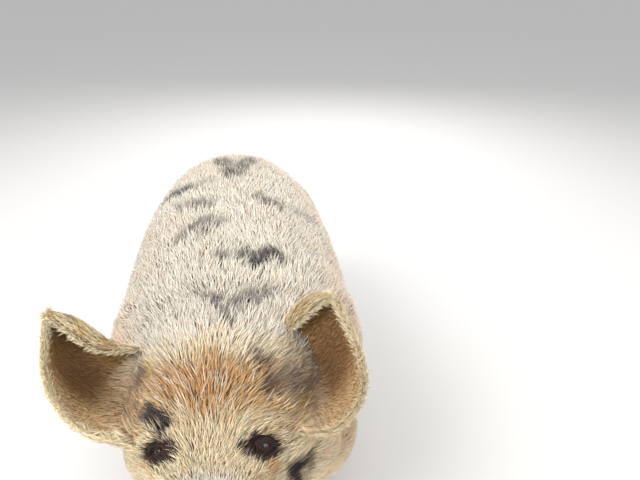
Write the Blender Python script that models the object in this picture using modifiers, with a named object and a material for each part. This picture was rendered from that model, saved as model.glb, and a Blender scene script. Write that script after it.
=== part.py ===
"""A kunekune pig, standing with its head turned a little, as a life-size still model.

Metres, +Z up. The pig faces -Y and its left side is at +X. The origin is the middle of
the model's outer box at floor level.
"""

import math
import random

import bmesh
import bpy
import numpy as np
from mathutils import Matrix, Vector
from mathutils.bvhtree import BVHTree

# Driving sizes, in metres
GAP = 0.00035  # clearance between nodes that meet
SHORTEST_EDGE = 0.00001
BARREL_HALF = 0.205  # half the barrel's width, without the coat
BACK = 0.598  # height of the back
BELLY = 0.168  # height of the belly
RUMP_Y = 0.455  # back of the rump
STANCE = 0.113  # from the middle plane to the middle of each foot
FRONT_FOOT_Y = -0.178
HIND_FOOT_Y = 0.318
CORONET = 0.036  # height of the plane where claws meet feet
OCCIPUT = Vector((0.0, -0.290, 0.455))  # start of the head's axis
HEAD_LENGTH = 0.240  # from the occiput to the back of the snout disc
HEAD_TILT = math.radians(20)  # head's axis below the horizontal
HEAD_TURN = math.radians(-8)  # to the pig's right
HEAD_ROLL = math.radians(-4)  # its left side higher
NECK_PIVOT = Vector((0.0, -0.200, 0.440))
EYE_SPREAD = 0.0625  # from the middle plane to each eye
EYE_ALONG = 0.104  # along the head's axis
EYE_RISE = 0.064  # above the head's axis
EYE_RADIUS = 0.0122
EYE_SUNK = 0.0075  # from the skin to the eye's centre
LID_HALF_WIDTH = 0.0105
LID_UPPER = 0.0058  # height of the opening above and below the eye's middle
LID_LOWER = 0.0046
LID_RADIUS = 0.0032
SNOUT_HALF_WIDTH = 0.0415
SNOUT_HALF_HEIGHT = 0.0345
SNOUT_DEPTH = 0.016
SNOUT_RISE = 0.010
NOSTRIL_LINE = ((0.0150, 0.006, -0.002), (0.0155, 0.011, -0.001), (0.0165, 0.020, 0.001))
NOSTRIL_RADII = (0.0045, 0.0062, 0.0085)
MOUTH_LINE = ((0.216, -0.034), (0.190, -0.036), (0.160, -0.040), (0.130, -0.040), (0.112, -0.032))
MOUTH_GROOVE = 0.0020
LIP_RADIUS = 0.0042
LIP_SPREAD = 0.0050  # from the mouth's line to the middle of each lip
EAR_THICKNESS = 0.0075
EAR_EDGE = 0.0030
CLAW_HALF_WIDTH = 0.0155
CLAW_HALF_LENGTH = 0.0330
CLEFT = 0.0030  # between the two claws of a foot
CLAW_SIDES = 12
DEWCLAW_SPREAD = 0.021
DEWCLAW_BACK = 0.036
DEWCLAW_HEIGHT = 0.058
DEWCLAW_RADII = (0.0085, 0.0105, 0.0170)
WATTLE_SPREAD = 0.050
WATTLE_ALONG = 0.122
WATTLE_RISE = -0.100
WATTLE_LENGTH = 0.058
WATTLE_RADII = (0.0060, 0.0065, 0.0070, 0.0080, 0.0090, 0.0085, 0.0040)
COAT_DEPTH = 0.017  # from the skin to the tips on the back
CORE_SHARE = 0.45  # share of that depth that is solid under the locks
HEAD_COAT_DEPTH = 0.014
FACE_COAT_DEPTH = 0.006
MUZZLE_COAT_DEPTH = 0.0020
SHANK_COAT_DEPTH = 0.0050
FOOT_COAT_DEPTH = 0.0010
EYE_COAT_DEPTH = 0.0012
EYE_CLEARING = (0.018, 0.042)  # the coat is short within the first distance of an eye
LOCK_SUNK = 0.006  # how deep a lock's root goes below the core
LOCK_RINGS = 3
LOCK_WIDTHS = (0.55, 1.00, 0.80)  # shares of its width, from the root to the tip
LOCK_CREST = 0.10  # height of a lock's ridge as a share of its width
LOCK_CLEARANCE = 0.006  # between a lock and an ear, a claw or any other separate piece
SEED = 7
BODY_VOXEL = 0.010
SOFTENING = 12
BODY_TRIANGLES = 3600
COATED_TRIANGLES = 9700
MODEL_SHIFT = Vector((0.0045, 0.001, 0.0))  # puts the origin at the middle of the outer box

# Materials: colour, roughness
CREAM = ("cream_coat", (0.72, 0.62, 0.47), 0.85)
GINGER = ("ginger_coat", (0.58, 0.38, 0.20), 0.85)
SNOUT_SKIN = ("snout_skin", (0.52, 0.34, 0.30), 0.55)
HORN = ("claw_horn", (0.20, 0.16, 0.13), 0.45)
EYE_BROWN = ("eye", (0.05, 0.03, 0.02), 0.10)


def clear_scene():
    for obj in list(bpy.data.objects):
        bpy.data.objects.remove(obj)


def material(kind):
    name, colour, roughness = kind
    made = bpy.data.materials.get(name)
    if made is None:
        made = bpy.data.materials.new(name)
        made.use_nodes = True
        shader = made.node_tree.nodes["Principled BSDF"]
        shader.inputs["Base Color"].default_value = (*colour, 1.0)
        shader.inputs["Roughness"].default_value = roughness
        shader.inputs["Metallic"].default_value = 0.0
    return made


def collection(name):
    made = bpy.data.collections.get(name)
    if made is None:
        made = bpy.data.collections.new(name)
        bpy.context.scene.collection.children.link(made)
    return made


def mesh_object(name, points, faces, group="working"):
    mesh = bpy.data.meshes.new(name)
    mesh.from_pydata([tuple(p) for p in points], [], faces)
    obj = bpy.data.objects.new(name, mesh)
    collection(group).objects.link(obj)
    return obj


def finish_node(obj, kind):
    """Makes obj a node of the pig: triangles, one material, smooth shading."""
    keep_largest(obj)
    for group in list(obj.users_collection):
        group.objects.unlink(obj)
    collection("kunekune_pig").objects.link(obj)
    obj.data.materials.clear()
    obj.data.materials.append(material(kind))
    obj.data.shade_smooth()
    return obj


def remove(objects):
    for obj in list(objects):
        bpy.data.objects.remove(obj)


def applied(obj):
    """Replaces obj's mesh by the one that its modifiers make."""
    graph = bpy.context.evaluated_depsgraph_get()
    graph.update()
    mesh = bpy.data.meshes.new_from_object(obj.evaluated_get(graph))
    obj.modifiers.clear()
    obj.data = mesh
    return obj


def duplicate(obj, name):
    copy = bpy.data.objects.new(name, obj.data.copy())
    copy.matrix_world = obj.matrix_world
    collection("working").objects.link(copy)
    return copy


def boolean(obj, others, operation):
    """Joins the closed meshes in others to obj, or cuts obj by them, and removes them.

    The solver is MANIFOLD because EXACT is slow with this many overlapping locks.
    """
    operands = collection("operands")
    for other in others:
        for group in list(other.users_collection):
            group.objects.unlink(other)
        operands.objects.link(other)
    modifier = obj.modifiers.new(operation, "BOOLEAN")
    modifier.operation = operation
    modifier.solver = "MANIFOLD"
    modifier.operand_type = "COLLECTION"
    modifier.collection = operands
    applied(obj)
    remove(others)
    return obj


def mesh_of(obj):
    made = bmesh.new()
    made.from_mesh(obj.data)
    return made


def point_outward(bm):
    """Turns the faces of a closed mesh so that they all point out."""
    bm.normal_update()
    bmesh.ops.recalc_face_normals(bm, faces=bm.faces)
    if bm.calc_volume(signed=True) < 0:
        bmesh.ops.reverse_faces(bm, faces=bm.faces)


def keep_largest(obj):
    """Triangulates obj, collapses its tiniest edges and keeps its largest closed surface."""
    bm = mesh_of(obj)
    bmesh.ops.triangulate(bm, faces=bm.faces)
    bmesh.ops.dissolve_degenerate(bm, dist=SHORTEST_EDGE, edges=bm.edges)
    bmesh.ops.triangulate(bm, faces=bm.faces)
    left = set(bm.faces)
    shells = []
    while left:
        stack = [left.pop()]
        shell = []
        while stack:
            face = stack.pop()
            shell.append(face)
            for edge in face.edges:
                for other in edge.link_faces:
                    if other in left:
                        left.discard(other)
                        stack.append(other)
        volume = 0.0
        for face in shell:
            a, b, c = (v.co for v in face.verts)
            volume += a.dot(b.cross(c)) / 6
        shells.append((volume, shell))
    shells.sort(key=lambda item: item[0], reverse=True)
    loose = [face for _, shell in shells[1:] for face in shell]
    bmesh.ops.delete(bm, geom=loose, context="FACES")
    lone = [v for v in bm.verts if not v.link_faces]
    bmesh.ops.delete(bm, geom=lone, context="VERTS")
    bm.to_mesh(obj.data)
    bm.free()
    return obj


def swollen(obj, by, name="swollen"):
    """A copy of obj with each vertex moved out along its normal."""
    copy = duplicate(obj, name)
    bm = mesh_of(copy)
    bm.normal_update()
    for vertex in bm.verts:
        vertex.co += vertex.normal * (by * vertex.calc_shell_factor())
    bm.to_mesh(copy.data)
    bm.free()
    return copy


def smooth_rows(rows, steps):
    """Rows of numbers with steps - 1 more rows between each two, on a smooth curve."""
    rows = np.array(rows, float)
    padded = np.vstack([2 * rows[0] - rows[1], rows, 2 * rows[-1] - rows[-2]])
    made = []
    for i in range(1, len(padded) - 2):
        a, b, c, d = padded[i - 1 : i + 3]
        for t in np.arange(steps) / steps:
            made.append(
                0.5 * (2 * b + (c - a) * t + (2 * a - 5 * b + 4 * c - d) * t**2
                       + (3 * b - a - 3 * c + d) * t**3)
            )
    made.append(rows[-1])
    made = [row.tolist() for row in made]
    return made


def section(count, half_width, above, below, squareness):
    """(across, up) of a rounded section's points. It is widest at height 0."""
    points = []
    for i in range(count):
        angle = 2 * math.pi * i / count
        c, s = math.cos(angle), math.sin(angle)
        across = half_width * math.copysign(abs(c) ** (2 / squareness), c)
        rise = math.copysign(abs(s) ** (2 / squareness), s)
        points.append((across, rise * (above if s > 0 else below)))
    return points


def loft(name, rings):
    """A closed mesh through rings of points that all have the same count."""
    count = len(rings[0])
    points = [p for ring in rings for p in ring]
    faces = []
    for r in range(len(rings) - 1):
        for i in range(count):
            j = (i + 1) % count
            low, high = r * count, (r + 1) * count
            faces.append((low + i, low + j, high + j, high + i))
    faces.append(tuple(range(count))[::-1])
    last = (len(rings) - 1) * count
    faces.append(tuple(last + i for i in range(count)))
    obj = mesh_object(name, points, faces)
    bm = mesh_of(obj)
    point_outward(bm)
    bm.to_mesh(obj.data)
    bm.free()
    return obj


def ellipsoid(name, centre, radii, turn=None, segments=20):
    bm = bmesh.new()
    bmesh.ops.create_uvsphere(bm, u_segments=segments, v_segments=segments // 2, radius=1)
    obj = mesh_object(name, [], [])
    place = Matrix.Translation(centre) @ (turn or Matrix.Identity(4))
    bm.transform(place @ Matrix.Diagonal((*radii, 1.0)))
    bm.to_mesh(obj.data)
    bm.free()
    return obj


def tube(name, points, radii, sides=6, squash=1.0):
    """A closed tube through points, with a radius at each."""
    rings = []
    points = [Vector(p) for p in points]
    side = None
    for i, p in enumerate(points):
        ahead = points[min(i + 1, len(points) - 1)] - points[max(i - 1, 0)]
        ahead.normalize()
        if side is None:
            side = ahead.orthogonal().normalized()
        side = (side - ahead * side.dot(ahead)).normalized()
        up = ahead.cross(side)
        ring = []
        for k in range(sides):
            angle = 2 * math.pi * k / sides
            ring.append(p + radii[i] * (math.cos(angle) * side + squash * math.sin(angle) * up))
        rings.append(ring)
    return loft(name, rings)


# The body's form, without the coat

# along the back (y), lowest, highest, half width
TORSO_ROWS = (
    (RUMP_Y, 0.360, 0.440, 0.050),
    (RUMP_Y - 0.015, 0.290, 0.497, 0.098),
    (0.400, 0.235, 0.546, 0.136),
    (0.330, 0.195, 0.582, 0.166),
    (0.240, BELLY + 0.008, BACK - 0.002, 0.188),
    (0.130, BELLY, BACK + 0.004, 0.202),
    (0.010, BELLY, BACK, BARREL_HALF),
    (-0.100, BELLY + 0.010, BACK - 0.006, 0.200),
    (-0.190, 0.205, BACK - 0.012, 0.180),
    (-0.260, 0.262, 0.578, 0.150),
    (-0.320, 0.330, 0.545, 0.110),
)
TORSO_WIDEST = 0.46  # share of the height at which the barrel is widest
TORSO_SQUARENESS = 2.3

# along the head's axis, top, widest level, bottom, half width, squareness
SKULL_ROWS = (
    (-0.050, 0.085, 0.000, -0.090, 0.090, 2.1),
    (-0.015, 0.108, -0.005, -0.112, 0.116, 2.1),
    (0.030, 0.116, -0.010, -0.116, 0.128, 2.2),
    (0.070, 0.103, -0.018, -0.110, 0.122, 2.5),
    (0.105, 0.079, -0.026, -0.100, 0.104, 2.8),
    (0.135, 0.060, -0.026, -0.084, 0.083, 2.6),
    (0.165, 0.050, -0.016, -0.062, 0.066, 2.3),
    (0.195, 0.047, -0.006, -0.045, 0.053, 2.1),
    (0.220, 0.047, 0.000, -0.036, 0.046, 2.1),
    (HEAD_LENGTH + 0.004, 0.049, 0.005, -0.030, 0.043, 2.1),
)

# the lower jaw, in the same terms
JAW_ROWS = (
    (0.060, -0.030, -0.070, -0.108, 0.088, 2.2),
    (0.105, -0.030, -0.064, -0.096, 0.070, 2.2),
    (0.145, -0.030, -0.054, -0.080, 0.051, 2.2),
    (0.180, -0.030, -0.048, -0.066, 0.039, 2.2),
    (0.208, -0.030, -0.043, -0.056, 0.030, 2.2),
    (0.222, -0.034, -0.042, -0.050, 0.018, 2.2),
)

# height, y from the foot, x from the foot, half width, half depth
FRONT_LEG_ROWS = (
    (0.360, 0.030, -0.010, 0.066, 0.080),
    (0.280, 0.018, -0.004, 0.060, 0.070),
    (0.220, 0.010, 0.000, 0.049, 0.057),
    (0.170, 0.004, 0.000, 0.040, 0.045),
    (0.130, -0.001, 0.001, 0.037, 0.040),
    (0.092, 0.002, 0.001, 0.031, 0.033),
    (0.062, -0.002, 0.000, 0.032, 0.036),
    (0.030, -0.010, 0.000, 0.033, 0.040),
)
HIND_LEG_ROWS = (
    (0.420, -0.030, -0.014, 0.070, 0.110),
    (0.330, -0.026, -0.002, 0.070, 0.106),
    (0.270, -0.014, 0.003, 0.059, 0.086),
    (0.220, 0.004, 0.004, 0.047, 0.063),
    (0.175, 0.018, 0.003, 0.037, 0.046),
    (0.140, 0.018, 0.002, 0.033, 0.038),
    (0.095, 0.010, 0.001, 0.030, 0.033),
    (0.062, 0.002, 0.000, 0.032, 0.036),
    (0.030, -0.010, 0.000, 0.033, 0.040),
)
LEG_SQUARENESS = 2.2
FEET = (("front", FRONT_FOOT_Y, FRONT_LEG_ROWS), ("hind", HIND_FOOT_Y, HIND_LEG_ROWS))
SIDES = (("left", 1), ("right", -1))
SECTION_SIDES = 28

# Where the body is parted
TORSO_FRONT_Y = -0.185
HEAD_BACK = -0.012  # along the head's axis
HEAD_UNDERSIDE = -0.150  # below the head's axis
LEG_BOX_HALF = 0.086  # along the body
LEG_BOX_INNER_X = 0.030
LEG_BOX_OUTER_X = 0.240
LEG_BOX_INNER_Z = 0.150  # its slanted top, at the inner side
LEG_BOX_SLOPE = 0.80

# Each ear's margins in the head's frame (across, along, up), from the head to the tip.
# The front one hangs over the cheek, and the rear one starts on top of the head.
EARS = {
    "right": {
        "front": ((0.100, 0.094, 0.062), (0.145, 0.089, 0.101), (0.174, 0.067, 0.127),
                  (0.191, 0.031, 0.151), (0.195, -0.032, 0.179)),
        "rear": ((0.088, -0.022, 0.062), (0.112, -0.026, 0.080), (0.148, -0.027, 0.107),
                 (0.174, -0.036, 0.148), (0.195, -0.032, 0.179)),
    },
    "left": {
        "front": ((0.100, 0.086, 0.054), (0.150, 0.092, 0.066), (0.186, 0.066, 0.088),
                  (0.192, 0.022, 0.108), (0.160, -0.062, 0.134)),
        "rear": ((0.072, -0.026, 0.062), (0.088, -0.032, 0.080), (0.100, -0.050, 0.100),
                 (0.132, -0.066, 0.124), (0.160, -0.062, 0.134)),
    },
}
EAR_CUP = 0.036  # how deep the ear is between its margins
EAR_ROOT = 0.030  # how far the ear runs on inside the head before it is cut
EAR_FOLD = 0.020  # width of the fold along the rear margin
EAR_STEPS = (2, 8)  # per margin point, and across

# The tail's middle line and thickness
TAIL_LINE = (
    (0.000, 0.438, 0.462, 0.020),
    (0.001, 0.470, 0.474, 0.019),
    (0.004, 0.494, 0.463, 0.017),
    (0.008, 0.506, 0.438, 0.0155),
    (0.012, 0.508, 0.410, 0.0140),
    (0.010, 0.504, 0.383, 0.0125),
    (0.002, 0.503, 0.358, 0.0110),
    (-0.008, 0.510, 0.336, 0.0095),
    (-0.012, 0.520, 0.314, 0.0060),
)


# Locks by region: spacing of their roots, length, width
TORSO_LOCKS = (0.082, 0.118, 0.078)
NECK_LOCKS = (0.064, 0.092, 0.060)
HEAD_LOCKS = (0.043, 0.064, 0.041)
LOCKS_END = 0.150  # along the head's axis; the muzzle's hair is short
SHANK_TOP = 0.215  # the legs' hair is short below this height
BELLY_NORMAL = -0.80  # and so is the belly's, where the surface faces down this much
EAR_FRINGE = (7, 0.034, 0.026)  # count, length, width
TAIL_TASSEL = (6, 0.075, 0.020)


def head_frame():
    """The matrix from the head's own frame (across, along, up) to the model's."""
    along = Vector((0.0, -math.cos(HEAD_TILT), -math.sin(HEAD_TILT)))
    up = Vector((0.0, -math.sin(HEAD_TILT), math.cos(HEAD_TILT)))
    across = Vector((1.0, 0.0, 0.0))
    axes = Matrix((across, along, up)).transposed().to_4x4()
    turn = Matrix.Rotation(HEAD_TURN, 4, "Z") @ Matrix.Rotation(HEAD_ROLL, 4, "Y")
    to_pivot = Matrix.Translation(NECK_PIVOT)
    return to_pivot @ turn @ to_pivot.inverted() @ Matrix.Translation(OCCIPUT) @ axes


def torso_form():
    rings = []
    for y, low, high, half in smooth_rows(TORSO_ROWS, 3):
        widest = low + TORSO_WIDEST * (high - low)
        outline = section(SECTION_SIDES, half, high - widest, widest - low, TORSO_SQUARENESS)
        rings.append([(x, y, widest + z) for x, z in outline])
    return loft("torso_form", rings)


def head_form(name, rows, frame):
    rings = []
    for along, top, widest, bottom, half, squareness in smooth_rows(rows, 3):
        outline = section(SECTION_SIDES, half, top - widest, widest - bottom, squareness)
        rings.append([frame @ Vector((x, along, widest + z)) for x, z in outline])
    return loft(name, rings)


def leg_form(name, rows, side, foot_y):
    rings = []
    for height, dy, dx, half_x, half_y in smooth_rows(rows, 3):
        outline = section(SECTION_SIDES, half_x, half_y, half_y, LEG_SQUARENESS)
        rings.append([(side * (STANCE + dx) + x, foot_y + dy + y, height) for x, y in outline])
    return loft(name, rings)


def body_forms(frame):
    """All the overlapping closed forms that make up the animal's flesh."""
    neck_middle = NECK_PIVOT + Vector((-0.006, -0.075, 0.010))
    forms = [
        torso_form(),
        head_form("skull_form", SKULL_ROWS, frame),
        head_form("jaw_form", JAW_ROWS, frame),
        ellipsoid("neck_form", neck_middle, (0.140, 0.130, 0.144)),
        ellipsoid("throat_form", neck_middle + Vector((0, 0.020, -0.075)), (0.105, 0.100, 0.105)),
        ellipsoid("brisket_form", (0, -0.195, 0.280), (0.100, 0.085, 0.110)),
    ]
    for _, side in SIDES:
        forms += [
            ellipsoid("shoulder_form", (side * 0.128, -0.135, 0.370), (0.084, 0.110, 0.165)),
            ellipsoid("ham_form", (side * 0.112, 0.300, 0.370), (0.092, 0.130, 0.150)),
            ellipsoid("ruff_form", (side * 0.098, -0.262, 0.330), (0.080, 0.085, 0.095)),
            ellipsoid("jowl_form", frame @ Vector((side * 0.084, 0.058, -0.052)), (0.067, 0.068, 0.060)),
            ellipsoid("brow_form", frame @ Vector((side * 0.056, 0.080, 0.074)), (0.026, 0.022, 0.014)),
        ]
        for end, foot_y, rows in FEET:
            forms.append(leg_form(end + "_leg_form", rows, side, foot_y))
    return forms


def joined(name, objects):
    """One object that holds all the closed meshes of objects."""
    bm = bmesh.new()
    for obj in objects:
        bm.from_mesh(obj.data)
    made = mesh_object(name, [], [])
    bm.to_mesh(made.data)
    bm.free()
    return made


def fused_form(name, forms, voxel, smoothing):
    """One smooth skin over overlapping forms."""
    made = joined(name, forms)
    remesh = made.modifiers.new("fuse", "REMESH")
    remesh.mode = "VOXEL"
    remesh.voxel_size = voxel
    smooth = made.modifiers.new("soften", "SMOOTH")
    smooth.factor = 0.5
    smooth.iterations = smoothing
    return applied(made)


def decimated(obj, triangles):
    bm = mesh_of(obj)
    bmesh.ops.triangulate(bm, faces=bm.faces)
    count = len(bm.faces)
    bm.to_mesh(obj.data)
    bm.free()
    modifier = obj.modifiers.new("thin", "DECIMATE")
    modifier.ratio = min(1.0, triangles / count)
    return applied(obj)


def ramp(value, start, end):
    """0 before start, 1 past end, and smooth between them."""
    t = min(1.0, max(0.0, (value - start) / (end - start)))
    return t * t * (3 - 2 * t)


def coat_depth(point, to_head):
    """How far the coat's tips stand above the skin at a point on it."""
    across, along, up = to_head @ point
    depth = COAT_DEPTH
    if point.y < OCCIPUT.y + 0.05:
        face = ramp(along, 0.075, 0.150)
        depth = HEAD_COAT_DEPTH * (1 - face) + FACE_COAT_DEPTH * face
        muzzle = ramp(along, 0.190, 0.225)
        depth = depth * (1 - muzzle) + MUZZLE_COAT_DEPTH * muzzle
        to_eye = Vector((abs(across), along, up)) - Vector((EYE_SPREAD, EYE_ALONG, EYE_RISE))
        clearing = 1 - ramp(to_eye.length, *EYE_CLEARING)
        depth = depth * (1 - clearing) + EYE_COAT_DEPTH * clearing
    shank = 1 - ramp(point.z, 0.090, 0.230)
    depth = depth * (1 - shank) + SHANK_COAT_DEPTH * shank
    foot = 1 - ramp(point.z, 0.030, 0.060)
    return depth * (1 - foot) + FOOT_COAT_DEPTH * foot


def coated(body, frame, share):
    """Moves the skin out to the given share of the coat's depth."""
    to_head = frame.inverted()
    bm = mesh_of(body)
    bm.normal_update()
    moves = [(v, v.normal * (share * coat_depth(v.co, to_head))) for v in bm.verts]
    for vertex, move in moves:
        vertex.co += move
    bm.to_mesh(body.data)
    bm.free()
    return body


def lie_of_coat(point, normal, to_head, face_point):
    """The direction in which the coat lies at a point: from the nose back, and down the flanks."""
    along = (to_head @ point).y
    back = Vector((0, 1, -0.55 * abs(normal.x)))
    if point.z < SHANK_TOP + 0.05:
        back = Vector((0, 0.45, -1))
    fan = (point - face_point).normalized()
    on_head = ramp(along, -0.060, 0.040)
    lie = back * (1 - on_head) + (fan + Vector((0, 0.2, -0.15))) * on_head
    return (lie - normal * lie.dot(normal)).normalized()


def surface_of(obj):
    bm = mesh_of(obj)
    surface = BVHTree.FromBMesh(bm)
    bm.free()
    return surface


def spread_points(obj, spacing_at, draw, tries=9000):
    """Random points on obj that keep at least their own spacing from one another."""
    triangles = []
    areas = []
    obj.data.calc_loop_triangles()
    corners = obj.data.vertices
    for triangle in obj.data.loop_triangles:
        triangles.append([corners[i].co for i in triangle.vertices])
        areas.append(triangle.area)
    kept = []
    for a, b, c in draw.choices(triangles, weights=areas, k=tries):
        u, v = draw.random(), draw.random()
        if u + v > 1:
            u, v = 1 - u, 1 - v
        point = a + (b - a) * u + (c - a) * v
        normal = (b - a).cross(c - a).normalized()
        spacing = spacing_at(point, normal)
        if spacing and all((point - other).length > spacing for other in kept):
            kept.append(point)
    return kept


def locks_at(point, normal, to_head):
    """Which locks grow at a point of the body, if any: spacing, length and width."""
    across, along, up = to_head @ point
    to_eye = Vector((abs(across), along, up)) - Vector((EYE_SPREAD, EYE_ALONG, EYE_RISE))
    if point.z < SHANK_TOP or normal.z < BELLY_NORMAL or along > LOCKS_END:
        return None
    if to_eye.length < EYE_CLEARING[1] * 0.75:
        return None
    if along > HEAD_BACK and point.y < TORSO_FRONT_Y:
        return HEAD_LOCKS
    return NECK_LOCKS if point.y < TORSO_FRONT_Y + 0.06 else TORSO_LOCKS


def lock(name, points, ups, width):
    """A flat, keeled, tapered lock through points, the last of which is its tip."""
    rings = []
    for k, (point, up) in enumerate(zip(points[:-1], ups)):
        ahead = (points[k + 1] - point).normalized()
        side = up.cross(ahead).normalized() * (width * LOCK_WIDTHS[k] / 2)
        rings.append([point + side, point + up * (width * LOCK_CREST), point - side])
    faces = [(2, 1, 0)]
    for k in range(len(rings) - 1):
        low, high = 3 * k, 3 * k + 3
        faces += [(low + i, low + (i + 1) % 3, high + (i + 1) % 3, high + i) for i in range(3)]
    tip = 3 * len(rings)
    faces += [(tip - 3 + i, tip - 3 + (i + 1) % 3, tip) for i in range(3)]
    made = mesh_object(name, [p for ring in rings for p in ring] + [points[-1]], faces)
    bm = mesh_of(made)
    point_outward(bm)
    bm.to_mesh(made.data)
    bm.free()
    return made


def coat_lock(root, size, core, to_head, face_point, draw):
    """A lock that follows the core from its sunk root and rises to the coat's outline."""
    _, length, width = size
    length *= draw.uniform(0.85, 1.15)
    width *= draw.uniform(0.85, 1.15)
    sway = draw.uniform(-0.30, 0.30)
    rise = coat_depth(root, to_head) * (1 - CORE_SHARE) * draw.uniform(0.85, 1.10)
    place, normal, _, _ = core.find_nearest(root)
    points, ups = [], []
    for k in range(LOCK_RINGS + 1):
        share = k / LOCK_RINGS
        height = rise * share if k else -LOCK_SUNK
        points.append(place + normal * height)
        ups.append(normal.copy())
        ahead = lie_of_coat(place, normal, to_head, face_point)
        ahead = Matrix.Rotation(sway * share, 3, normal) @ ahead
        place, new_normal, _, _ = core.find_nearest(place + ahead * (length / LOCK_RINGS))
        normal = (normal + new_normal).normalized()
    return lock("lock", points, ups, width)


def clear_of(piece, surfaces):
    """Whether every vertex of a lock keeps its clearance from other nodes' surfaces."""
    for vertex in piece.data.vertices:
        for surface in surfaces:
            if surface.find_nearest(vertex.co, LOCK_CLEARANCE + 0.012)[0] is None:
                continue
            if surface.find_nearest(vertex.co, LOCK_CLEARANCE)[0] is not None:
                return False
    return True


def body_locks(core_body, frame, neighbours, draw):
    """The coat's locks over the whole body, clear of the pieces around them."""
    to_head = frame.inverted()
    face_point = frame @ Vector((0, 0.140, 0.050))
    core = surface_of(core_body)

    def spacing_at(point, normal):
        size = locks_at(point, normal, to_head)
        return size and size[0]

    locks = []
    for root in spread_points(core_body, spacing_at, draw):
        normal = core.find_nearest(root)[1]
        size = locks_at(root, normal, to_head)
        if size:
            locks.append(coat_lock(root, size, core, to_head, face_point, draw))
    crossing = [piece for piece in locks if not clear_of(piece, neighbours)]
    locks = [piece for piece in locks if piece not in crossing]
    remove(crossing)
    return locks


def box(name, low, high, place=None):
    bm = bmesh.new()
    bmesh.ops.create_cube(bm, size=1.0)
    low, high = Vector(low), Vector(high)
    size = Matrix.Diagonal((*(high - low), 1.0))
    bm.transform((place or Matrix.Identity(4)) @ Matrix.Translation((low + high) / 2) @ size)
    point_outward(bm)
    made = mesh_object(name, [], [])
    bm.to_mesh(made.data)
    bm.free()
    return made


def leg_box(side, foot_y, inset):
    """The region of a leg: a box whose top slants up and out, above the coronet."""
    half = LEG_BOX_HALF - inset
    inner, outer = LEG_BOX_INNER_X + inset, LEG_BOX_OUTER_X
    made = box("leg_box", (inner, foot_y - half, CORONET + GAP), (outer, foot_y + half, 0.2))
    bm = mesh_of(made)
    for vertex in bm.verts:
        if vertex.co.z > 0.1:
            vertex.co.z = LEG_BOX_INNER_Z - inset + LEG_BOX_SLOPE * (vertex.co.x - inner)
        vertex.co.x *= side
    point_outward(bm)
    bm.to_mesh(made.data)
    bm.free()
    return made


def head_box(frame, inset):
    low = (-0.35, HEAD_BACK + inset, HEAD_UNDERSIDE + inset)
    return box("head_box", low, (0.35, 0.60, 0.50), frame)


def front_box(inset):
    return box("front_box", (-0.6, -1.2, -0.2), (0.6, TORSO_FRONT_Y - inset, 1.2))


def leg_boxes():
    return [leg_box(side, foot_y, 0.0) for _, side in SIDES for _, foot_y, _ in FEET]


def parted(body, frame):
    """Parts the whole body into its nodes, a thin gap apart."""
    nodes = {}
    torso = duplicate(body, "torso")
    nodes["torso"] = boolean(torso, [front_box(0.0)] + leg_boxes(), "DIFFERENCE")
    neck = boolean(duplicate(body, "neck"), [front_box(GAP)], "INTERSECT")
    nodes["neck"] = boolean(neck, [head_box(frame, 0.0)] + leg_boxes(), "DIFFERENCE")
    nodes["head"] = boolean(duplicate(body, "head"), [head_box(frame, GAP)], "INTERSECT")
    for side_name, side in SIDES:
        for end, foot_y, _ in FEET:
            name = end + "_leg_" + side_name
            leg = duplicate(body, name)
            nodes[name] = boolean(leg, [leg_box(side, foot_y, GAP)], "INTERSECT")
    return nodes


def ear_sheet(margins, side, frame):
    """The ear's middle surface as rows of points from the head out to the tip.

    Across each row the points go from the front margin round the cup to the rear one,
    and on over the fold.
    """
    front = [Vector(p) for p in smooth_rows(margins["front"], EAR_STEPS[0])]
    rear = [Vector(p) for p in smooth_rows(margins["rear"], EAR_STEPS[0])]
    outward = front[-1] - (front[0] + rear[0]) / 2
    back = outward.cross(front[0] - rear[0]).normalized()
    if back.y > 0:
        back = -back
    inward = -outward.normalized() * EAR_ROOT
    rows = []
    for i, (a, b) in enumerate(zip([front[0] + inward] + front, [rear[0] + inward] + rear)):
        share = max(0, i - 1) / (len(front) - 1)
        cup = EAR_CUP * math.sqrt(max(0.0, 1 - share * share))
        fold = EAR_FOLD * math.sin(math.pi * ramp(share, 0.15, 1.15))
        width = 1 - 0.97 * ramp(share, 0.90, 1.30)
        row = []
        for k in range(EAR_STEPS[1] + 1):
            v = 2 * k / EAR_STEPS[1] - 1
            row.append((a + b) / 2 + (b - a) / 2 * v * width + back * cup * (1 - v * v))
        edge = row[-1]
        across = (a - b).normalized() if (a - b).length > 1e-4 else (front[0] - rear[0]).normalized()
        row.append(edge - back * (0.25 * fold + 0.002) + across * 0.10 * fold)
        row.append(edge - back * (0.40 * fold + 0.004) + across * 0.55 * fold)
        row.append(edge - back * (0.38 * fold + 0.005) + across * 1.00 * fold)
        rows.append([frame @ Vector((side * p.x, p.y, p.z)) for p in row])
    return rows


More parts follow.
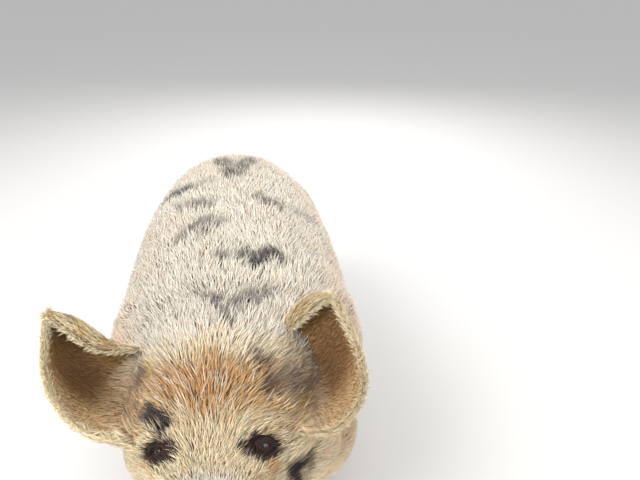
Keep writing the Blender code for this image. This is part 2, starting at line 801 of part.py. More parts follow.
def thick_sheet(name, rows, thickness, edge_thickness):
    """A closed mesh over a grid of points, with triangles alike on both faces."""
    height, width = len(rows), len(rows[0])
    grid = [p for row in rows for p in row]
    faces = []
    for r in range(height - 1):
        for k in range(width - 1):
            a, b = r * width + k, r * width + k + 1
            c, d = a + width, b + width
            faces += [(a, b, d), (a, d, c)]
    middle = mesh_object(name, grid, faces)
    middle.data.update()
    normals = [v.normal.copy() for v in middle.data.vertices]
    points = []
    for face_side in (1, -1):
        for r in range(height):
            for k in range(width):
                at_edge = r == height - 1 or k in (0, width - 1)
                half = (edge_thickness if at_edge else thickness) / 2
                i = r * width + k
                points.append(grid[i] + normals[i] * half * face_side)
    count = len(grid)
    both = list(faces) + [(c + count, b + count, a + count) for a, b, c in faces]
    rim = list(range(width)) + [r * width + width - 1 for r in range(1, height)]
    rim += [(height - 1) * width + k for k in range(width - 2, -1, -1)]
    rim += [r * width for r in range(height - 2, 0, -1)]
    for a, b in zip(rim, rim[1:] + rim[:1]):
        both += [(b, a, a + count), (b, a + count, b + count)]
    bpy.data.objects.remove(middle)
    made = mesh_object(name, points, both)
    bm = mesh_of(made)
    point_outward(bm)
    bm.to_mesh(made.data)
    bm.free()
    return made


def bent_lock(name, root, first, last, up, length, width):
    """A lock from root that bends from one direction to another."""
    points, ups = [root], []
    for k in range(LOCK_RINGS):
        share = (k + 0.5) / LOCK_RINGS
        ahead = (first * (1 - share) + last * share).normalized()
        points.append(points[-1] + ahead * (length / LOCK_RINGS))
        ups.append(up)
    return lock(name, points, ups, width)


def ear_fringe(rows, draw):
    """The locks that hang out past the ear's front margin and bend towards its tip."""
    count, length, width = EAR_FRINGE
    locks = []
    for i in range(count):
        at = 2 + (len(rows) - 4) * i / (count - 1)
        r = int(at)
        edge = rows[r][0].lerp(rows[r + 1][0], at - r)
        outward = (rows[r][0] - rows[r][3]).normalized()
        tipward = (rows[r + 1][0] - rows[r][0]).normalized()
        up = outward.cross(tipward).normalized()
        root = edge - outward * LOCK_SUNK
        reach = length * draw.uniform(0.85, 1.15)
        locks.append(bent_lock("fringe", root, outward, outward + tipward, up, reach, width))
    return locks


def make_ear(side_name, side, frame, clearance, draw):
    rows = ear_sheet(EARS[side_name], side, frame)
    ear = thick_sheet("ear_" + side_name, rows, EAR_THICKNESS, EAR_EDGE)
    boolean(ear, ear_fringe(rows, draw), "UNION")
    return boolean(ear, [duplicate(clearance, "cut")], "DIFFERENCE")


def eye_axes(side, frame, core):
    """The eye's centre and its outward, backward and upward directions, on the head."""
    outward = frame.to_3x3() @ Vector((side * 0.60, 0.45, 0.66)).normalized()
    on_skin = frame @ Vector((side * EYE_SPREAD, EYE_ALONG, EYE_RISE))
    hit = core.ray_cast(on_skin + outward * 0.05, -outward)[0]
    backward = frame.to_3x3() @ Vector((side * 0.62, -0.78, -0.05))
    backward = (backward - outward * backward.dot(outward)).normalized()
    upward = outward.cross(backward) * side
    if upward.z < 0:
        upward = -upward
    return hit - outward * EYE_SUNK, outward, backward, upward


def make_eye(side_name, axes):
    return ellipsoid("eye_" + side_name, axes[0], (EYE_RADIUS,) * 3, segments=14)


def eyelids(axes):
    """The two lids' rims as tapered arcs over the eyeball."""
    centre, outward, backward, upward = axes
    lids = []
    for rise in (LID_UPPER, -LID_LOWER):
        points, radii = [], []
        for k in range(7):
            angle = math.pi * (k / 6 - 0.5)
            h = LID_HALF_WIDTH * math.sin(angle)
            v = rise * math.cos(angle)
            away = math.sqrt((EYE_RADIUS + 0.0006) ** 2 - h * h - v * v)
            points.append(centre + outward * away + backward * h + upward * v)
            radii.append(LID_RADIUS * (0.55 + 0.45 * math.cos(angle)))
        lids.append(tube("lid", points, radii, 5))
    return lids


def make_snout(frame):
    """The disc at the end of the nose: an oval with a rounded rim and two nostrils."""
    place = frame @ Matrix.Translation((0, HEAD_LENGTH, SNOUT_RISE))
    rings = []
    for depth, share in ((GAP, 0.94), (0.30, 1.0), (0.72, 0.99), (0.93, 0.93), (1.0, 0.84)):
        away = SNOUT_DEPTH * depth if depth > GAP else GAP
        outline = section(20, SNOUT_HALF_WIDTH * share, SNOUT_HALF_HEIGHT * share,
                          SNOUT_HALF_HEIGHT * share, 2.2)
        rings.append([place @ Vector((x, away, z)) for x, z in outline])
    disc = loft("snout", rings)
    pits = []
    for side in (-1, 1):
        pit = tube("nostril", [place @ Vector((side * x, y, z)) for x, y, z in NOSTRIL_LINE],
                   NOSTRIL_RADII, 10)
        pits.append(pit)
    return boolean(disc, pits, "DIFFERENCE")


def make_claw(name, side_x, foot_y, inner):
    """One half of a cloven foot: flat below, pointed in front, straight along the cleft."""
    top = CORONET - GAP
    rings = []
    for height, wide, long, ahead in ((0.0, 0.92, 0.94, 0.020), (0.003, 1.0, 1.0, 0.020),
                                      (0.018, 0.97, 0.95, 0.015), (top, 0.90, 0.84, 0.010)):
        ring = []
        for k in range(CLAW_SIDES):
            angle = 2 * math.pi * k / CLAW_SIDES
            x = CLAW_HALF_WIDTH * wide * math.cos(angle)
            y = CLAW_HALF_LENGTH * long * math.sin(angle)
            if y < 0:
                x = x * (1 - 0.30 * (y / CLAW_HALF_LENGTH) ** 2) - inner * 0.10 * y
            ring.append((side_x + x + inner * (CLAW_HALF_WIDTH + CLEFT / 2),
                         foot_y + y - ahead, height))
        rings.append(ring)
    return loft(name, rings)


def make_dewclaw(name, side, foot_y, outer, clearance):
    x = side * (STANCE + outer * DEWCLAW_SPREAD)
    lean = Matrix.Rotation(math.radians(28), 4, "X")
    claw = ellipsoid(name, (x, foot_y + DEWCLAW_BACK, DEWCLAW_HEIGHT), DEWCLAW_RADII, lean, 8)
    return boolean(claw, [duplicate(clearance, "cut")], "DIFFERENCE")


def make_tail(clearance, draw):
    """The tail with the tassel of locks round its end."""
    rows = smooth_rows(TAIL_LINE, 2)
    tail = tube("tail", [row[:3] for row in rows], [row[3] for row in rows], 8)
    count, length, width = TAIL_TASSEL
    end, before = Vector(rows[-1][:3]), Vector(rows[-4][:3])
    along = (end - before).normalized()
    locks = []
    for i in range(count):
        angle = 2 * math.pi * i / count
        out = Vector((math.cos(angle), math.sin(angle), 0))
        out = (out - along * out.dot(along)).normalized()
        reach = length * draw.uniform(0.80, 1.10)
        root = before + out * 0.002
        last = along + Vector((0, 0, -0.6)) + out * 0.10
        locks.append(bent_lock("tassel", root, along + out * 0.35, last, out, reach, width))
    boolean(tail, locks, "UNION")
    return boolean(tail, [duplicate(clearance, "cut")], "DIFFERENCE")


def make_wattle(side_name, side, frame, clearance):
    root = frame @ Vector((side * WATTLE_SPREAD, WATTLE_ALONG, WATTLE_RISE))
    points = [root + Vector((side * 0.002 * k, 0, 0.012 - WATTLE_LENGTH * k / 6)) for k in range(7)]
    wattle = tube("wattle_" + side_name, points, WATTLE_RADII, 8)
    return boolean(wattle, [duplicate(clearance, "cut")], "DIFFERENCE")


def mouth_lines(surface, frame, offset):
    """The line of the mouth on each side of the muzzle, raised by offset along the head's up."""
    inward = (frame.to_3x3() @ Vector((1, 0, 0))).normalized()
    lines = []
    for side in (-1, 1):
        line = []
        for along, up in smooth_rows(MOUTH_LINE, 2):
            start = frame @ Vector((side * 0.3, along, up + offset))
            hit = surface.ray_cast(start, inward * -side)[0]
            if hit is not None:
                line.append(hit - inward * (side * 0.001))
        lines.append(line)
    return lines


def lips(surface, frame):
    made = []
    for offset in (LIP_SPREAD, -LIP_SPREAD):
        for line in mouth_lines(surface, frame, offset):
            taper = [LIP_RADIUS * (1 - 0.5 * k / (len(line) - 1)) for k in range(len(line))]
            made.append(tube("lip", line, taper, 5))
    return made


def cut_mouth(head, frame):
    """Cuts the line of the mouth as a groove between the lips."""
    grooves = []
    for line in mouth_lines(surface_of(head), frame, 0.0):
        grooves.append(tube("groove", line, [MOUTH_GROOVE] * len(line), 5))
    return boolean(head, grooves, "DIFFERENCE")


def small_nodes(frame, clearance, core, draw):
    """Every node that isn't cut out of the body itself: name to (object, material)."""
    made = {"snout": (make_snout(frame), SNOUT_SKIN), "tail": (make_tail(clearance, draw), CREAM)}
    for side_name, side in SIDES:
        made["ear_" + side_name] = (make_ear(side_name, side, frame, clearance, draw), GINGER)
        eye = make_eye(side_name, eye_axes(side, frame, core))
        made["eye_" + side_name] = (eye, EYE_BROWN)
        made["wattle_" + side_name] = (make_wattle(side_name, side, frame, clearance), SNOUT_SKIN)
        for end, foot_y, _ in FEET:
            for place, way in (("outer", 1), ("inner", -1)):
                name = "_".join((end, "claw", side_name, place))
                made[name] = (make_claw(name, side * STANCE, foot_y, way * side), HORN)
                name = "_".join((end, "dewclaw", side_name, place))
                made[name] = (make_dewclaw(name, side, foot_y, way, clearance), HORN)
    return made


def main():
    clear_scene()
    draw = random.Random(SEED)
    frame = head_frame()
    forms = body_forms(frame)
    body = fused_form("body", forms, BODY_VOXEL, SOFTENING)
    remove(forms)
    coated(decimated(body, BODY_TRIANGLES), frame, CORE_SHARE)
    keep_largest(body)
    core = surface_of(body)
    clearance = swollen(body, GAP)
    made = small_nodes(frame, clearance, core, draw)
    neighbours = [surface_of(obj) for obj, _ in made.values()]
    details = body_locks(body, frame, neighbours, draw) + lips(core, frame)
    for _, side in SIDES:
        details += eyelids(eye_axes(side, frame, core))
    boolean(body, details, "UNION")
    decimated(keep_largest(body), COATED_TRIANGLES)
    nodes = parted(body, frame)
    for side_name, _ in SIDES:
        eye = made["eye_" + side_name][0]
        boolean(nodes["head"], [swollen(eye, GAP)], "DIFFERENCE")
    end_cut = box("end_cut", (-0.2, HEAD_LENGTH, -0.2), (0.2, HEAD_LENGTH + 0.1, 0.2), frame)
    boolean(nodes["head"], [end_cut], "DIFFERENCE")
    cut_mouth(nodes["head"], frame)
    made.update({name: (obj, GINGER if name == "head" else CREAM) for name, obj in nodes.items()})
    remove([body, clearance])
    for name, (obj, kind) in made.items():
        obj.name = name
        obj.data.transform(Matrix.Translation(MODEL_SHIFT))
        finish_node(obj, kind)


main()
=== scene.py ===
"""Looks of the kunekune pig: one skin over all its flesh, a coat of solid tufts, eyes and claws.

Metres, +Z up. The pig faces -Y and its left side is at +X. Shapes are made where the
solids' own script makes them, and moved by MODEL_SHIFT at the end.
"""

import math
from collections import namedtuple

import bmesh
import bpy
import numpy as np
from mathutils import Matrix, Vector
from mathutils.bvhtree import BVHTree
from mathutils.kdtree import KDTree


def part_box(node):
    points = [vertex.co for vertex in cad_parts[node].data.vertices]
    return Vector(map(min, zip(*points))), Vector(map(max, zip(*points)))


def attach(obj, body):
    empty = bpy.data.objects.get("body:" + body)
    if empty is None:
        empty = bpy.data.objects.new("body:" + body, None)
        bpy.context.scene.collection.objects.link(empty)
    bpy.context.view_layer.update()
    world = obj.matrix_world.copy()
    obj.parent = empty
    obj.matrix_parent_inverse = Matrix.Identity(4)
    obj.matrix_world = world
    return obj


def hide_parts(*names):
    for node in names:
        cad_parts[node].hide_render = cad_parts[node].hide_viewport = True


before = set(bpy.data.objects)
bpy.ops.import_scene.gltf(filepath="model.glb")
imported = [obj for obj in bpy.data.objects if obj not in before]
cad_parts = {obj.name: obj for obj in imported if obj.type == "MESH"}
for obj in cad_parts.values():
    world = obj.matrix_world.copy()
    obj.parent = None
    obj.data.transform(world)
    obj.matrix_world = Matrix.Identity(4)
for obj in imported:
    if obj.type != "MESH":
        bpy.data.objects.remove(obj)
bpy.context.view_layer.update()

# Driving sizes shared with the solids, in metres
BARREL_HALF = 0.205
BACK = 0.598
BELLY = 0.168
RUMP_Y = 0.455
STANCE = 0.113  # from the middle plane to the middle of each foot
FRONT_FOOT_Y = -0.178
HIND_FOOT_Y = 0.318
CORONET = 0.036  # height of the plane where claws meet feet
OCCIPUT = Vector((0.0, -0.29, 0.455))  # start of the head's axis
HEAD_LENGTH = 0.24
HEAD_TILT = math.radians(20)  # head's axis below the horizontal
HEAD_TURN = math.radians(-8)
HEAD_ROLL = math.radians(-4)
NECK_PIVOT = Vector((0.0, -0.2, 0.44))
EYE_RADIUS = 0.0122
LID_HALF_WIDTH = 0.0085
LID_UPPER = 0.0042  # height of the opening above and below the eye's middle
LID_LOWER = 0.0034
SNOUT_HALF_WIDTH = 0.0415
SNOUT_HALF_HEIGHT = 0.0345
SNOUT_DEPTH = 0.016
SNOUT_RISE = 0.01
NOSTRIL_LINE = ((0.015, 0.006, -0.002), (0.0155, 0.011, -0.001), (0.0165, 0.02, 0.001))
NOSTRIL_RADII = (0.0058, 0.0074, 0.0096)
MOUTH_LINE = ((0.216, -0.034), (0.19, -0.036), (0.16, -0.04), (0.13, -0.04), (0.112, -0.032))
CLAW_HALF_WIDTH = 0.0155
CLAW_HALF_LENGTH = 0.033
CLEFT = 0.003  # between the two claws of a foot
DEWCLAW_SPREAD = 0.021
DEWCLAW_BACK = 0.036
DEWCLAW_HEIGHT = 0.058
DEWCLAW_RADII = (0.0085, 0.0105, 0.017)
WATTLE_ROOT = (0.05, 0.122, -0.1)  # in the head's frame
WATTLE_LENGTH = 0.058
WATTLE_RADII = (0.006, 0.0065, 0.007, 0.008, 0.009, 0.0085, 0.004)
MODEL_SHIFT = Vector((0.0045, 0.001, 0.0))
SIDES = (("left", 1), ("right", -1))

# Sizes of the skin's own detail
GAP = 0.00035
SKIN_VOXEL = 0.0045
SKIN_SOFTENING = 60
REFINED_SOFTENING = 3
SEAM_SOFTENING = (6, 0.006)  # rounds of smoothing, and how near the seam
FINE_MUZZLE = ((0.03, 0.19, -0.02), 0.065)  # where the skin is finer: middle and radius
FINE_LIDS = (0.008, 0.04, 0.026)  # middle in front of the eye's centre, and two radii
EYE_OUTWARD = (0.6, 0.45, 0.66)  # the left eye's directions in the head's frame
EYE_BACKWARD = (0.8, 0.0, -0.5)
EYE_GAZE = (0.9, -0.25, -0.18)  # outward, backward in the lids' frame, and up
EYE_BULGE = (0.0006, 26)  # the cornea's height, and its width in degrees
LID_BALL = 0.0136  # radius of the lids' outer face round the eye
LID_BLEND = 0.0035
LID_RIM = (0.0011, 40, 10)  # radius of the hoop, and its points along and round
LID_CUT = (0.032, 0.03)  # how far from the eye's centre the cut's outline lies, and its length
LID_OFFSET = -0.003  # the lids' area reaches further outward than to the nose
LID_SHAPE = 0.66  # its height as a share of its width
LID_DEPTH = 0.2  # how much a distance inward counts, squared
LID_REGION = (0.05, 0.03)  # the skin is moved within these distances across and inward
LID_RAGGED = (0.0015, 0.012)  # depth and size of the bays in the edges of its colours
LID_MARK = (0.0205, 0.0265)  # the dark skin round an eye ends between these distances
LID_STRANDS = (0.0235, 0.0335)  # and the dark strands round it between these
LID_BARE = (0.0105, 0.017)  # hair thins out between these
LID_SHORT = (0.015, 0.032)  # and it is short before these
ORBIT_RIM = (0.0026, 0.022, 0.007)  # height, radius and width of the rise round the lids
BROW_RIDGE = (0.004, 0.02, 0.0075)  # height, distance above the eye, and width
CHEEK_RIDGE = (0.0022, 0.019, 0.007)
LID_FOLDS = ((1.9, 0.0007), (2.6, 0.0008), (3.4, 0.0006), (4.2, 0.0004))  # where, and how deep
LID_FOLD_WIDTH = 0.16
LID_UNEVEN = (0.35, 0.018)  # how much the folds vary, and over what distance
RIDGE_CURVE = 0.75  # how closely the ridges follow the lids round
MOUTH_GROOVE = (0.0024, 0.0018)  # depth, width
LIPS = (0.0016, 0.0048, 0.0026)  # height, distance from the groove, width
NOSE_FOLDS = (0.0008, 0.0085)  # height and spacing of the folds behind the snout's disc
EAR_THICKNESS = 0.005
EAR_EDGE = 0.002

# How far the coat stands above the skin
COAT_DEPTH = 0.017
HEAD_COAT_DEPTH = 0.014
FACE_COAT_DEPTH = 0.006
MUZZLE_COAT_DEPTH = 0.002
SHANK_COAT_DEPTH = 0.005
FOOT_COAT_DEPTH = 0.001
EYE_COAT_DEPTH = 0.0016
EAR_COAT_DEPTH = (0.005, 0.004, 0.002)  # outside, in the hollow, and more at the margins

# The coat: tufts for each square metre
BACK_DENSITY = 104000
BELLY_DENSITY = 40000
NECK_DENSITY = 120000
HEAD_DENSITY = 272000
FACE_DENSITY = 460000
MUZZLE_DENSITY = 480000
LEG_DENSITY = 100000
SHANK_DENSITY = 150000
EAR_DENSITY = 300000
TAIL_DENSITY = 200000
WATTLE_DENSITY = 260000
TUFT_LENGTH = (0.003, 2.1)  # a tuft's length: a constant, and a share of the coat's depth
TUFT_WIDTH = (0.00045, 0.028)  # its width: a constant, and a share of its length
TUFT_CREST = 0.45  # its thickness as a share of its width
TUFT_RISE = (0.35, 1.0)  # height of the tips above the skin, as shares of the coat's depth
TUFT_BELLY = 0.62  # height of the middle as a share of the tip's
TUFT_SINK = 0.0012
TUFT_SWAY = 0.2
CLUMP = (9, 0.38)  # tufts in a clump, and how far their tips lean to its middle
CLUMP_SPREAD = 0.3  # how much of the roots' spacing is left between a clump's tips
SEEN = 0.55  # a tuft has the colour of the place this share of its length along
EARS_ABOUT = (-0.2, 0.05)  # only points before this y and further out can be near an ear
HEAD_PIECE = (-0.012, 0.08, -0.15)  # from where on the head's axis, how far back, and how low
LEG_PIECE = 0.17  # the height at which the legs' piece ends
HEAD_CHART = (0.02, 0.27)  # start before the head's frame, and length of the UV map's charts
BODY_CHART = (0.4, 0.88)
BODY_AXIS = 0.38  # height of the line that the body's chart goes round
MIDDLE_Y = 0.08  # between the front and the hind legs
EAR_GAP = 0.004  # no tuft of the body starts nearer to an ear
EAR_RUFF = (0.026, 0.014, 0.006)  # hair within this distance of an ear stands up, and is longer
EAR_BASE = (0.04, 0.34)  # the hair at an ear's base ends between these shares of the way up
EAR_BASE_HAIR = (0.004, 0.016, 0.005)  # longer everywhere, longer at the base, and raised there
EAR_SWEEP = (0.25, 0.9, 0.5)  # turn of the hair to the front margin: inside, more inside, outside
FRINGE_COUNT = 3400
FRINGE_LENGTH = (0.009, 0.017)
FRINGE_WIDTH = (0.0006, 0.0011)
FRINGE_REAR = 0.22  # the share of it that stands on the rear margin
FRINGE_ROWS = 3  # of the sheet's points along the front margin that carry it
FRINGE_LIE = (0.8, 0.7, 0.22)  # out past the margin, towards the tip, and scatter
FRINGE_BEND = (0.45, 0.5)  # towards the tip, and scatter
HANGING_LENGTH = (0.01, 0.015)  # of the hair on the tail and the wattles
HANGING_LIFT = (0.1, 0.32)
HANGING_BEND = (0.0, -0.05, -0.4)
HANGING_WIDTH = (0.0004, 0.028)
TASSEL = 0.06  # how much longer the tail's hair gets at its end
WATTLE_TASSEL = 0.01
TASSEL_START = (0.6, 0.97)  # shares of the length between which it gets longer
LASH_LENGTHS = ((0.006, 0.0105), (0.003, 0.005))  # above and below
LASH_WIDTH = 0.0005
LASH_POINTS = 90  # round the lids' opening, of which the lashes take these:
UPPER_LASHES = slice(4, 42)
LOWER_LASHES = slice(52, 84, 3)
MOST_TUFTS = 32500  # in one piece
UV_PATCH = 0.003
SEED = 11
SINES = 7  # in the noise
SINES_SUM = 2.6  # about as far as they reach together


# Colour, as sRGB out of 255
def srgb(red, green, blue):
    """A linear colour from an sRGB one."""
    values = np.array((red, green, blue), float) / 255
    return np.where(values <= 0.04045, values / 12.92, ((values + 0.055) / 1.055) ** 2.4)


CREAM = srgb(238, 230, 214)
NAPE = srgb(236, 228, 212)
PINKISH = srgb(232, 218, 200)
PEACH = srgb(241, 217, 191)
TAN = srgb(220, 190, 154)
GINGER = srgb(214, 176, 122)
DEEP_GINGER = srgb(192, 138, 84)
BROW_CREAM = srgb(232, 218, 186)
CHEEK = srgb(229, 208, 174)
ORANGE = srgb(196, 140, 78)
# the muzzle's top: partly white hair, partly a painted highlight
MUZZLE_WHITE_AND_HIGHLIGHT = srgb(232, 226, 214)
EAR_OUTSIDE = srgb(216, 192, 148)
EAR_INSIDE = srgb(184, 146, 92)
# painted shade deep in the ear's hollow
EAR_HOLLOW_SHADE = srgb(140, 102, 64)
EAR_PEACH = srgb(228, 196, 146)
FRINGE = srgb(236, 224, 192)
BLACK = srgb(46, 40, 38)
GREY = srgb(132, 124, 116)
BROWN = srgb(84, 60, 44)
LID_STRAND = srgb(44, 32, 27)
POLL = srgb(230, 210, 170)
LID_SKIN = srgb(56, 34, 30)
SNOUT_SKIN = srgb(150, 112, 104)
HORN = srgb(92, 78, 66)
PUPIL = srgb(12, 8, 7)
# An eye's rings: colour, and the angles from its middle between which each begins
EYE_RINGS = ((srgb(58, 34, 20), 18, 24), (srgb(30, 18, 12), 36, 44), (srgb(92, 66, 58), 50, 60))


# Small helpers


def unit(vectors):
    return vectors / np.maximum(np.linalg.norm(vectors, axis=-1, keepdims=True), 1e-9)


def flat(vectors, normals):
    """The part of each vector that lies along the skin."""
    return vectors - normals * np.sum(vectors * normals, axis=1, keepdims=True)


def ramp(value, start, end):
    """0 before start, 1 past end, and smooth between them."""
    t = np.clip((value - start) / (end - start), 0, 1)
    return t * t * (3 - 2 * t)


def bell(value, middle, width):
    """1 at the middle, and falling smoothly to 0 on both sides."""
    return np.exp(-(((value - middle) / width) ** 2))


def mix(a, b, share):
    share = np.asarray(share)[..., None]
    return a * (1 - share) + b * share


def tinted(colour, *steps):
    """A colour mixed in turn with each step's colour, by that step's share."""
    for tint, share in steps:
        colour = mix(colour, tint, share)
    return colour


def graded(value, *steps):
    """A number moved in turn towards each step's number, by that step's share."""
    for target, share in steps:
        value = value + (target - value) * share
    return value


def waves(points, size, seed):
    """Smooth noise, mostly between -1 and 1, with features about size across."""
    draw = np.random.default_rng(seed)
    total = np.zeros(len(points))
    for _ in range(SINES):
        direction = unit(draw.normal(size=3)) * (2 * math.pi / size) * draw.uniform(0.6, 1.5)
        total += np.sin(points @ direction + draw.uniform(0, 2 * math.pi))
    return total / SINES_SUM


def swirl(points, size, seed):
    """The same in each of three directions."""
    return np.stack([waves(points, size, seed + i) for i in range(3)], 1)


def new_object(name, data):
    obj = bpy.data.objects.new(name, data)
    bpy.context.scene.collection.objects.link(obj)
    return obj


def mesh_object(name, points, faces):
    mesh = bpy.data.meshes.new(name)
    mesh.from_pydata([tuple(p) for p in points], [], faces)
    return new_object(name, mesh)


def mesh_of(obj):
    made = bmesh.new()
    made.from_mesh(obj.data)
    return made


def stored(bm, obj):
    bm.to_mesh(obj.data)
    bm.free()
    obj.data.update()
    return obj


def smoothed(bm, verts, rounds):
    for _ in range(rounds):
        bmesh.ops.smooth_vert(bm, verts=verts, factor=0.5,
                              use_axis_x=True, use_axis_y=True, use_axis_z=True)


def closed_mesh(name, points, faces):
    """A mesh of a closed form, its faces turned outward."""
    obj = mesh_object(name, points, faces)
    bm = mesh_of(obj)
    bm.normal_update()
    bmesh.ops.recalc_face_normals(bm, faces=bm.faces)
    if bm.calc_volume(signed=True) < 0:
        bmesh.ops.reverse_faces(bm, faces=bm.faces)
    return stored(bm, obj)


def remove(objects):
    for obj in list(objects):
        bpy.data.objects.remove(obj)


def applied(obj):
    """Replaces obj's mesh by the one that its modifiers make."""
    graph = bpy.context.evaluated_depsgraph_get()
    graph.update()
    mesh = bpy.data.meshes.new_from_object(obj.evaluated_get(graph))
    obj.modifiers.clear()
    obj.data = mesh
    return obj


def boolean(obj, others, operation):
    """Joins the closed meshes in others to obj, or cuts obj by them, and removes them."""
    operands = bpy.data.collections.new("operands")
    for other in others:
        operands.objects.link(other)
    modifier = obj.modifiers.new(operation, "BOOLEAN")
    modifier.operation = operation
    modifier.solver = "MANIFOLD"
    modifier.operand_type = "COLLECTION"
    modifier.collection = operands
    applied(obj)
    remove(others)
    bpy.data.collections.remove(operands)


def arrays_of(obj):
    """The mesh's points, their normals and its triangles."""
    mesh = obj.data
    mesh.calc_loop_triangles()
    arrays = []
    for items, key, kind in ((mesh.vertices, "co", float), (mesh.vertices, "normal", float),
                             (mesh.loop_triangles, "vertices", int)):
        values = np.empty(len(items) * 3, kind)
        items.foreach_get(key, values)
        arrays.append(values.reshape(-1, 3))
    return arrays


def move_points(obj, points):
    obj.data.vertices.foreach_set("co", points.ravel())
    obj.data.update()


def surface_of(obj):
    points, _, triangles = arrays_of(obj)
    return BVHTree.FromPolygons(points.tolist(), triangles.tolist())


def smooth_rows(rows, steps):
    """Rows of numbers with steps - 1 more rows between each two, on a smooth curve."""
    rows = np.array(rows, float)
    padded = np.vstack([2 * rows[0] - rows[1], rows, 2 * rows[-1] - rows[-2]])
    made = []
    for i in range(1, len(padded) - 2):
        a, b, c, d = padded[i - 1 : i + 3]
        for t in np.arange(steps) / steps:
            made.append(0.5 * (2 * b + (c - a) * t + (2 * a - 5 * b + 4 * c - d) * t**2
                               + (3 * b - a - 3 * c + d) * t**3))
    made.append(rows[-1])
    return [row.tolist() for row in made]


def section(half_width, above, below, squareness, count=56):
    """(across, up) of a rounded section's points. It is widest at height 0."""
    points = []
    for i in range(count):
        angle = 2 * math.pi * i / count
        c, s = math.cos(angle), math.sin(angle)
        across = half_width * math.copysign(abs(c) ** (2 / squareness), c)
        rise = math.copysign(abs(s) ** (2 / squareness), s)
        points.append((across, rise * (above if s > 0 else below)))
    return points


def circle(middle, radius, right, up, count):
    turns = [2 * math.pi * k / count for k in range(count)]
    return [middle + radius * (math.cos(t) * right + math.sin(t) * up) for t in turns]


def loft(name, rings, hoop=False):
    """A closed mesh through rings of points of the same count. A hoop ends where it starts."""
    count = len(rings[0])
    points = [p for ring in rings for p in ring]
    faces = []
    for low in range(0, len(points) if hoop else len(points) - count, count):
        high = (low + count) % len(points)
        for i in range(count):
            j = (i + 1) % count
            faces.append((low + i, low + j, high + j, high + i))
    if not hoop:
        faces.append(tuple(range(count))[::-1])
        faces.append(tuple(range(len(points) - count, len(points))))
    return closed_mesh(name, points, faces)


def shaped(name, rows, ring):
    """A closed mesh through the rings that ring makes of a smooth curve through rows."""
    return loft(name, [ring(*row) for row in smooth_rows(rows, 6)])


def ellipsoid(name, centre, radii, turn=None, segments=32):
    bm = bmesh.new()
    bmesh.ops.create_uvsphere(bm, u_segments=segments, v_segments=segments // 2, radius=1)
    place = Matrix.Translation(centre) @ (turn or Matrix.Identity(4))
    bm.transform(place @ Matrix.Diagonal((*radii, 1.0)))
    return stored(bm, mesh_object(name, [], []))


def tube(name, points, radii, sides):
    """A closed tube through points, with a radius at each."""
    rings = []
    side = None
    for i, p in enumerate(points):
        ahead = points[min(i + 1, len(points) - 1)] - points[max(i - 1, 0)]
        ahead.normalize()
        if side is None:
            side = ahead.orthogonal().normalized()
        side = (side - ahead * side.dot(ahead)).normalized()
        rings.append(circle(p, radii[i], side, ahead.cross(side), sides))
    return loft(name, rings)


# The body's form, as in the solids

# along the back (y), lowest, highest, half width
TORSO_ROWS = (
    (RUMP_Y, 0.36, 0.44, 0.05),
    (RUMP_Y - 0.015, 0.29, 0.497, 0.098),
    (0.4, 0.235, 0.546, 0.136),
    (0.33, 0.195, 0.582, 0.166),
    (0.24, BELLY + 0.008, BACK - 0.002, 0.188),
    (0.13, BELLY, BACK + 0.004, 0.202),
    (0.01, BELLY, BACK, BARREL_HALF),
    (-0.1, BELLY + 0.01, BACK - 0.006, 0.2),
    (-0.19, 0.205, BACK - 0.012, 0.18),
    (-0.26, 0.262, 0.578, 0.15),
    (-0.32, 0.33, 0.545, 0.11),
)
TORSO_WIDEST = 0.46
TORSO_SQUARENESS = 2.3

# along the head's axis, top, widest level, bottom, half width, squareness
SKULL_ROWS = (
    (-0.05, 0.085, 0.0, -0.09, 0.09, 2.1),
    (-0.015, 0.108, -0.005, -0.112, 0.116, 2.1),
    (0.03, 0.116, -0.01, -0.116, 0.128, 2.2),
    (0.07, 0.103, -0.018, -0.11, 0.122, 2.5),
    (0.105, 0.079, -0.026, -0.1, 0.104, 2.8),
    (0.135, 0.06, -0.026, -0.084, 0.083, 2.6),
    (0.165, 0.05, -0.016, -0.062, 0.066, 2.3),
    (0.195, 0.047, -0.006, -0.045, 0.053, 2.1),
    (0.22, 0.047, 0.0, -0.036, 0.046, 2.1),
    (HEAD_LENGTH + 0.004, 0.049, 0.005, -0.03, 0.043, 2.1),
)
JAW_ROWS = (
    (0.06, -0.03, -0.07, -0.108, 0.088, 2.2),
    (0.105, -0.03, -0.064, -0.096, 0.07, 2.2),
    (0.145, -0.03, -0.054, -0.08, 0.051, 2.2),
    (0.18, -0.03, -0.048, -0.066, 0.039, 2.2),
    (0.208, -0.03, -0.043, -0.056, 0.03, 2.2),
    (0.222, -0.034, -0.042, -0.05, 0.018, 2.2),
)

# height, y from the foot, x from the foot, half width, half depth
FRONT_LEG_ROWS = (
    (0.36, 0.03, -0.01, 0.066, 0.08),
    (0.28, 0.018, -0.004, 0.06, 0.07),
    (0.22, 0.01, 0.0, 0.049, 0.057),
    (0.17, 0.004, 0.0, 0.04, 0.045),
    (0.13, -0.001, 0.001, 0.037, 0.04),
    (0.092, 0.002, 0.001, 0.031, 0.033),
    (0.062, -0.002, 0.0, 0.032, 0.036),
    (0.03, -0.01, 0.0, 0.033, 0.04),
)
HIND_LEG_ROWS = (
    (0.42, -0.03, -0.014, 0.07, 0.11),
    (0.33, -0.026, -0.002, 0.07, 0.106),
    (0.27, -0.014, 0.003, 0.059, 0.086),
    (0.22, 0.004, 0.004, 0.047, 0.063),
    (0.175, 0.018, 0.003, 0.037, 0.046),
    (0.14, 0.018, 0.002, 0.033, 0.038),
    (0.095, 0.01, 0.001, 0.03, 0.033),
    (0.062, 0.002, 0.0, 0.032, 0.036),
    (0.03, -0.01, 0.0, 0.033, 0.04),
)
LEG_SQUARENESS = 2.2
FEET = (("front", FRONT_FOOT_Y, FRONT_LEG_ROWS), ("hind", HIND_FOOT_Y, HIND_LEG_ROWS))

